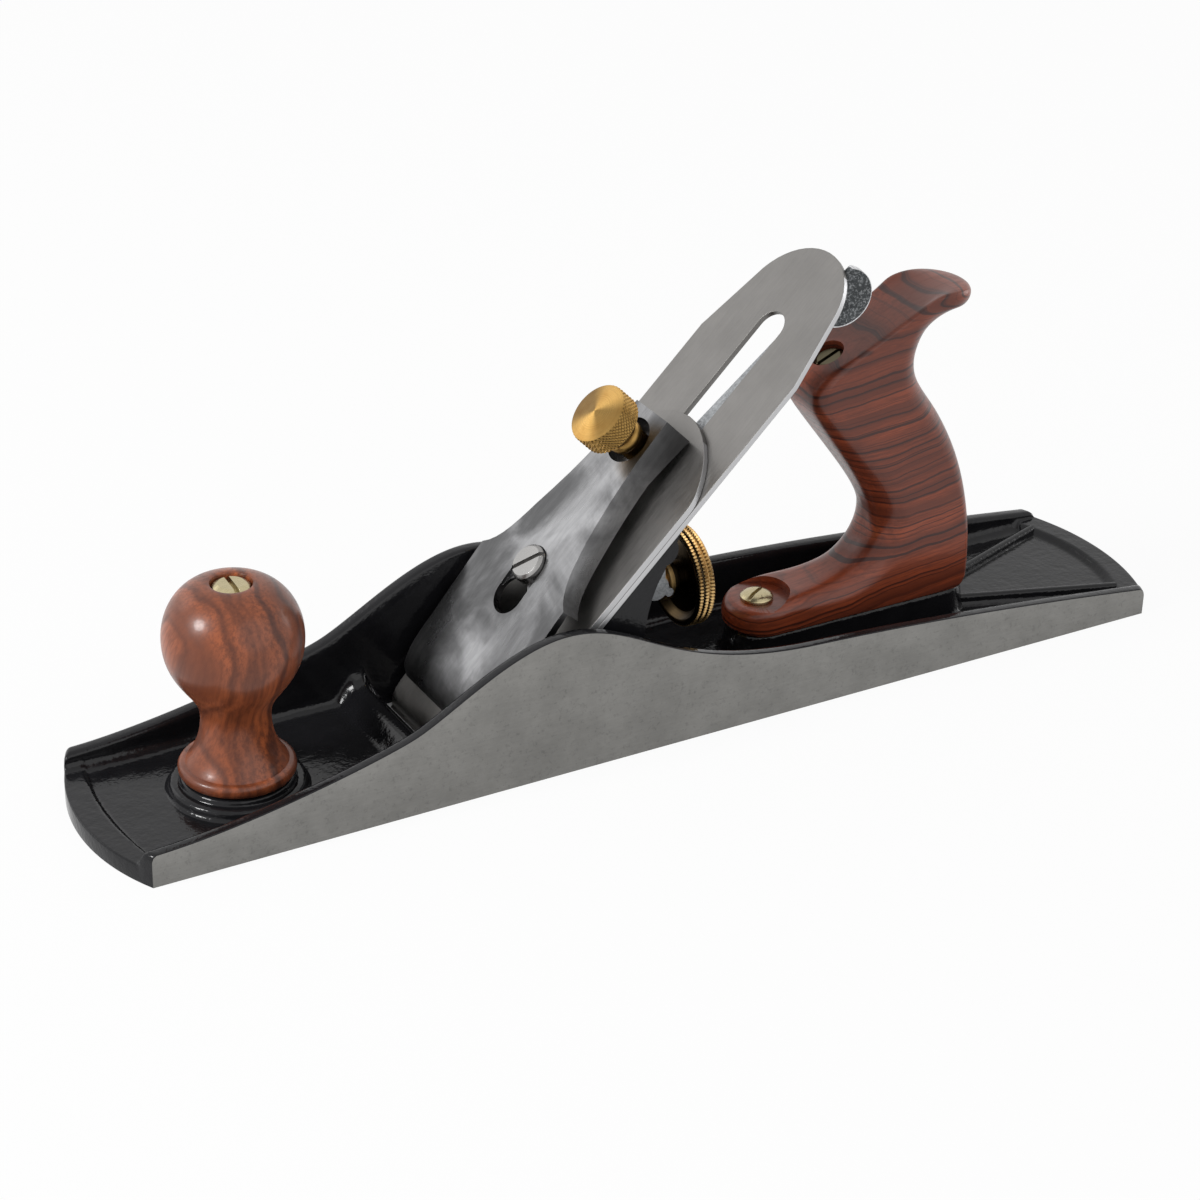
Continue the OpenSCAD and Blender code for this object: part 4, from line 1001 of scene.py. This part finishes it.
class PLANE_OT_depth(bpy.types.Operator):
    """Depth adjustment: stud, hub, knurled wheel and yoke"""
    bl_idname = "plane.depth"
    bl_label = "Depth adjustment"

    def execute(self, context):
        along = Matrix.Translation((0, 0, WHEEL_Z)) @ turned(90)
        brass = finish_named("wheel_brass")
        wheel = wheel_rim(along @ Matrix.Translation((0, 0, WHEEL_X)))
        settle(wheel, "depth_wheel_rim", "depth_wheel", brass, ("depth_wheel",), angle=35)
        hub = lathe([(3.05, 3.6), (5.4, 3.6), (5.7, 3.9), (5.7, 4.7), (5.4, 5.0), (4.6, 5.05),
                     (4.6, 8.55), (5.9, 8.6), (6.2, 8.9), (6.2, 11.6), (5.9, 11.9), (4.6, 11.95),
                     (4.6, 18.4), (4.3, 18.7), (3.05, 18.7), (3.05, 3.6)], 64, along)
        settle(hub, "depth_wheel_hub", "depth_hub", brass, ("depth_hub",), angle=35)
        stud = threaded(3.0, -15.4, 24.7, 1.0, along)
        settle(stud, "depth_wheel_stud", "frog", finish_named("steel"), ("depth_stud",))
        return ease("yoke")


class PLANE_OT_lateral(bpy.types.Operator):
    """Lateral lever with its steering button and pivot"""
    bl_idname = "plane.lateral"
    bl_label = "Lateral lever"

    def execute(self, context):
        return ease("lateral")


class PLANE_OT_irons(bpy.types.Operator):
    """Cutting iron, cap iron and the screw that joins them"""
    bl_idname = "plane.irons"
    bl_label = "Irons"

    def execute(self, context):
        return ease("irons")


class PLANE_OT_lever_cap(bpy.types.Operator):
    """Lever cap, its screw and the clamping thumbscrew"""
    bl_idname = "plane.lever_cap"
    bl_label = "Lever cap"

    def execute(self, context):
        settle(thumbscrew(), "clamp_thumbscrew", "clamp_knob", finish_named("screw_brass"),
               ("clamp_knob",), angle=22)
        rod = threaded(3.2, 2.1, 23.05, 1.0, CLAMP)
        settle(rod, "clamp_thread", "clamp_stud", finish_named("steel"), ("clamp_stud",))
        return ease("lever_cap")


class PLANE_OT_knob(bpy.types.Operator):
    """Turned front knob"""
    bl_idname = "plane.knob"
    bl_label = "Front knob"

    def execute(self, context):
        ball = lathe(knob_profile(), 128, Matrix.Translation((KNOB_X, 0, 0)))
        settle(ball, "front_knob_turning", "sole", finish_named("knob_wood"),
               ("front_knob",), angle=40)
        return {"FINISHED"}


class PLANE_OT_tote(bpy.types.Operator):
    """Shaped tote with the brass nuts and screws of both handles"""
    bl_idname = "plane.tote"
    bl_label = "Tote"

    def execute(self, context):
        settle(carved(tote_shape(), *tote_bores()), "tote_handle", "sole",
               finish_named("tote_wood"), ("tote",), angle=40)
        return ease("nuts")


# Floor, world, lamps and camera
CAMERA = {"azimuth": -30.58, "elevation": 28.47, "roll": 1.62, "distance": 931.16,
          "target": (-12.2, 0, 34.71), "focal_px": 3138.07, "frame_px": 1200, "sensor": 36.0}
LAMPS = [("Key", (-1.3, 0.05, 0.85), 0.45, 15.0), ("Front", (0.4, -1.8, 0.9), 2.4, 9.0),
         ("Left", (-0.85, 1.35, 0.85), 0.8, 1.2), ("Heel", (1.7, -0.05, 0.4), 0.8, 4.0)]
AMBIENT = 0.42


def pale_floor():
    """A pale floor that shows white but keeps the shadow, and doesn't shine through the mouth."""
    finish = Finish("pale_floor")
    matt = finish.add("ShaderNodeBsdfPrincipled", {}, Base_Color=(0.82, 0.82, 0.82), Roughness=0.9)
    glow = finish.add("ShaderNodeEmission", {})
    x, y, z = finish.axes(finish.place)
    under = (abs(x) < 0.17) * (abs(y) < 0.028)
    white = finish.seen() * (1 - under) * 0.94
    return finish.shown(finish.add("ShaderNodeMixShader", {}, white, matt, glow))


class PLANE_OT_stage(bpy.types.Operator):
    """Pale floor, white surroundings, soft lamps and the camera"""
    bl_idname = "plane.stage"
    bl_label = "Stage"

    def execute(self, context):
        scene = context.scene
        bm = bmesh.new()
        bmesh.ops.create_grid(bm, x_segments=1, y_segments=1, size=4.0)
        floor = placed(bm, "floor")
        floor.data.materials.append(pale_floor())
        scene.world = bpy.data.worlds.new("surroundings")
        sky = Nodes(scene.world)
        white = sky.add("ShaderNodeBackground", {}, Color=(1, 1, 1),
                        Strength=sky.seen() * (1 - AMBIENT) + AMBIENT)
        sky.add("ShaderNodeOutputWorld", {}, white)
        for name, place, size, power in LAMPS:
            lamp = bpy.data.lights.new(name, "AREA")
            lamp.shape = "DISK"
            lamp.size = size
            lamp.energy = power
            holder = bpy.data.objects.new(name, lamp)
            holder.location = place
            holder.rotation_euler = (-Vector(place)).to_track_quat("-Z", "Y").to_euler()
            scene.collection.objects.link(holder)
        self.add_camera(scene)
        scene.view_settings.view_transform = "Standard"
        return {"FINISHED"}

    def add_camera(self, scene):
        """The camera, where the photograph was taken from."""
        lens = bpy.data.cameras.new("Camera")
        lens.sensor_width = CAMERA["sensor"]
        lens.lens = CAMERA["focal_px"] * CAMERA["sensor"] / CAMERA["frame_px"]
        camera = bpy.data.objects.new("Camera", lens)
        aim = turned(CAMERA["azimuth"], "Z") @ turned(90 - CAMERA["elevation"], "X")
        back = turned(CAMERA["roll"], "Z") @ Matrix.Translation((0, 0, CAMERA["distance"] * MM))
        camera.matrix_world = Matrix.Translation(Vector(CAMERA["target"]) * MM) @ aim @ back
        scene.collection.objects.link(camera)
        scene.camera = camera


class PLANE_PT_panel(bpy.types.Panel):
    """Buttons and settings of the plane, in the sidebar"""
    bl_idname = "PLANE_PT_panel"
    bl_label = "Jack Plane"
    bl_space_type = "VIEW_3D"
    bl_region_type = "UI"
    bl_category = "Jack Plane"

    def draw(self, context):
        layout = self.layout
        for group in SETTINGS:
            settings = getattr(context.scene, group)
            for key in type(settings).__annotations__:
                layout.prop(settings, key)
        for step_class in STEPS:
            layout.operator(step_class.bl_idname)


STEPS = (PLANE_OT_stage, PLANE_OT_body, PLANE_OT_frog, PLANE_OT_depth, PLANE_OT_lateral,
         PLANE_OT_irons, PLANE_OT_lever_cap, PLANE_OT_knob, PLANE_OT_tote)
SETTINGS = {"plane_casting": CastingSettings, "plane_metal": MetalSettings, "plane_wood": WoodSettings}
CLASSES = (*SETTINGS.values(), *STEPS, PLANE_PT_panel)


def register():
    for shown in CLASSES:
        bpy.utils.register_class(shown)
    for name, group in SETTINGS.items():
        setattr(bpy.types.Scene, name, bpy.props.PointerProperty(type=group))


def unregister():
    for name in SETTINGS:
        delattr(bpy.types.Scene, name)
    for shown in reversed(CLASSES):
        bpy.utils.unregister_class(shown)


def main():
    """Builds every piece and the stage."""
    register()
    for step_class in STEPS:
        group, name = step_class.bl_idname.split(".")
        getattr(getattr(bpy.ops, group), name)()


if __name__ == "__main__":
    main()
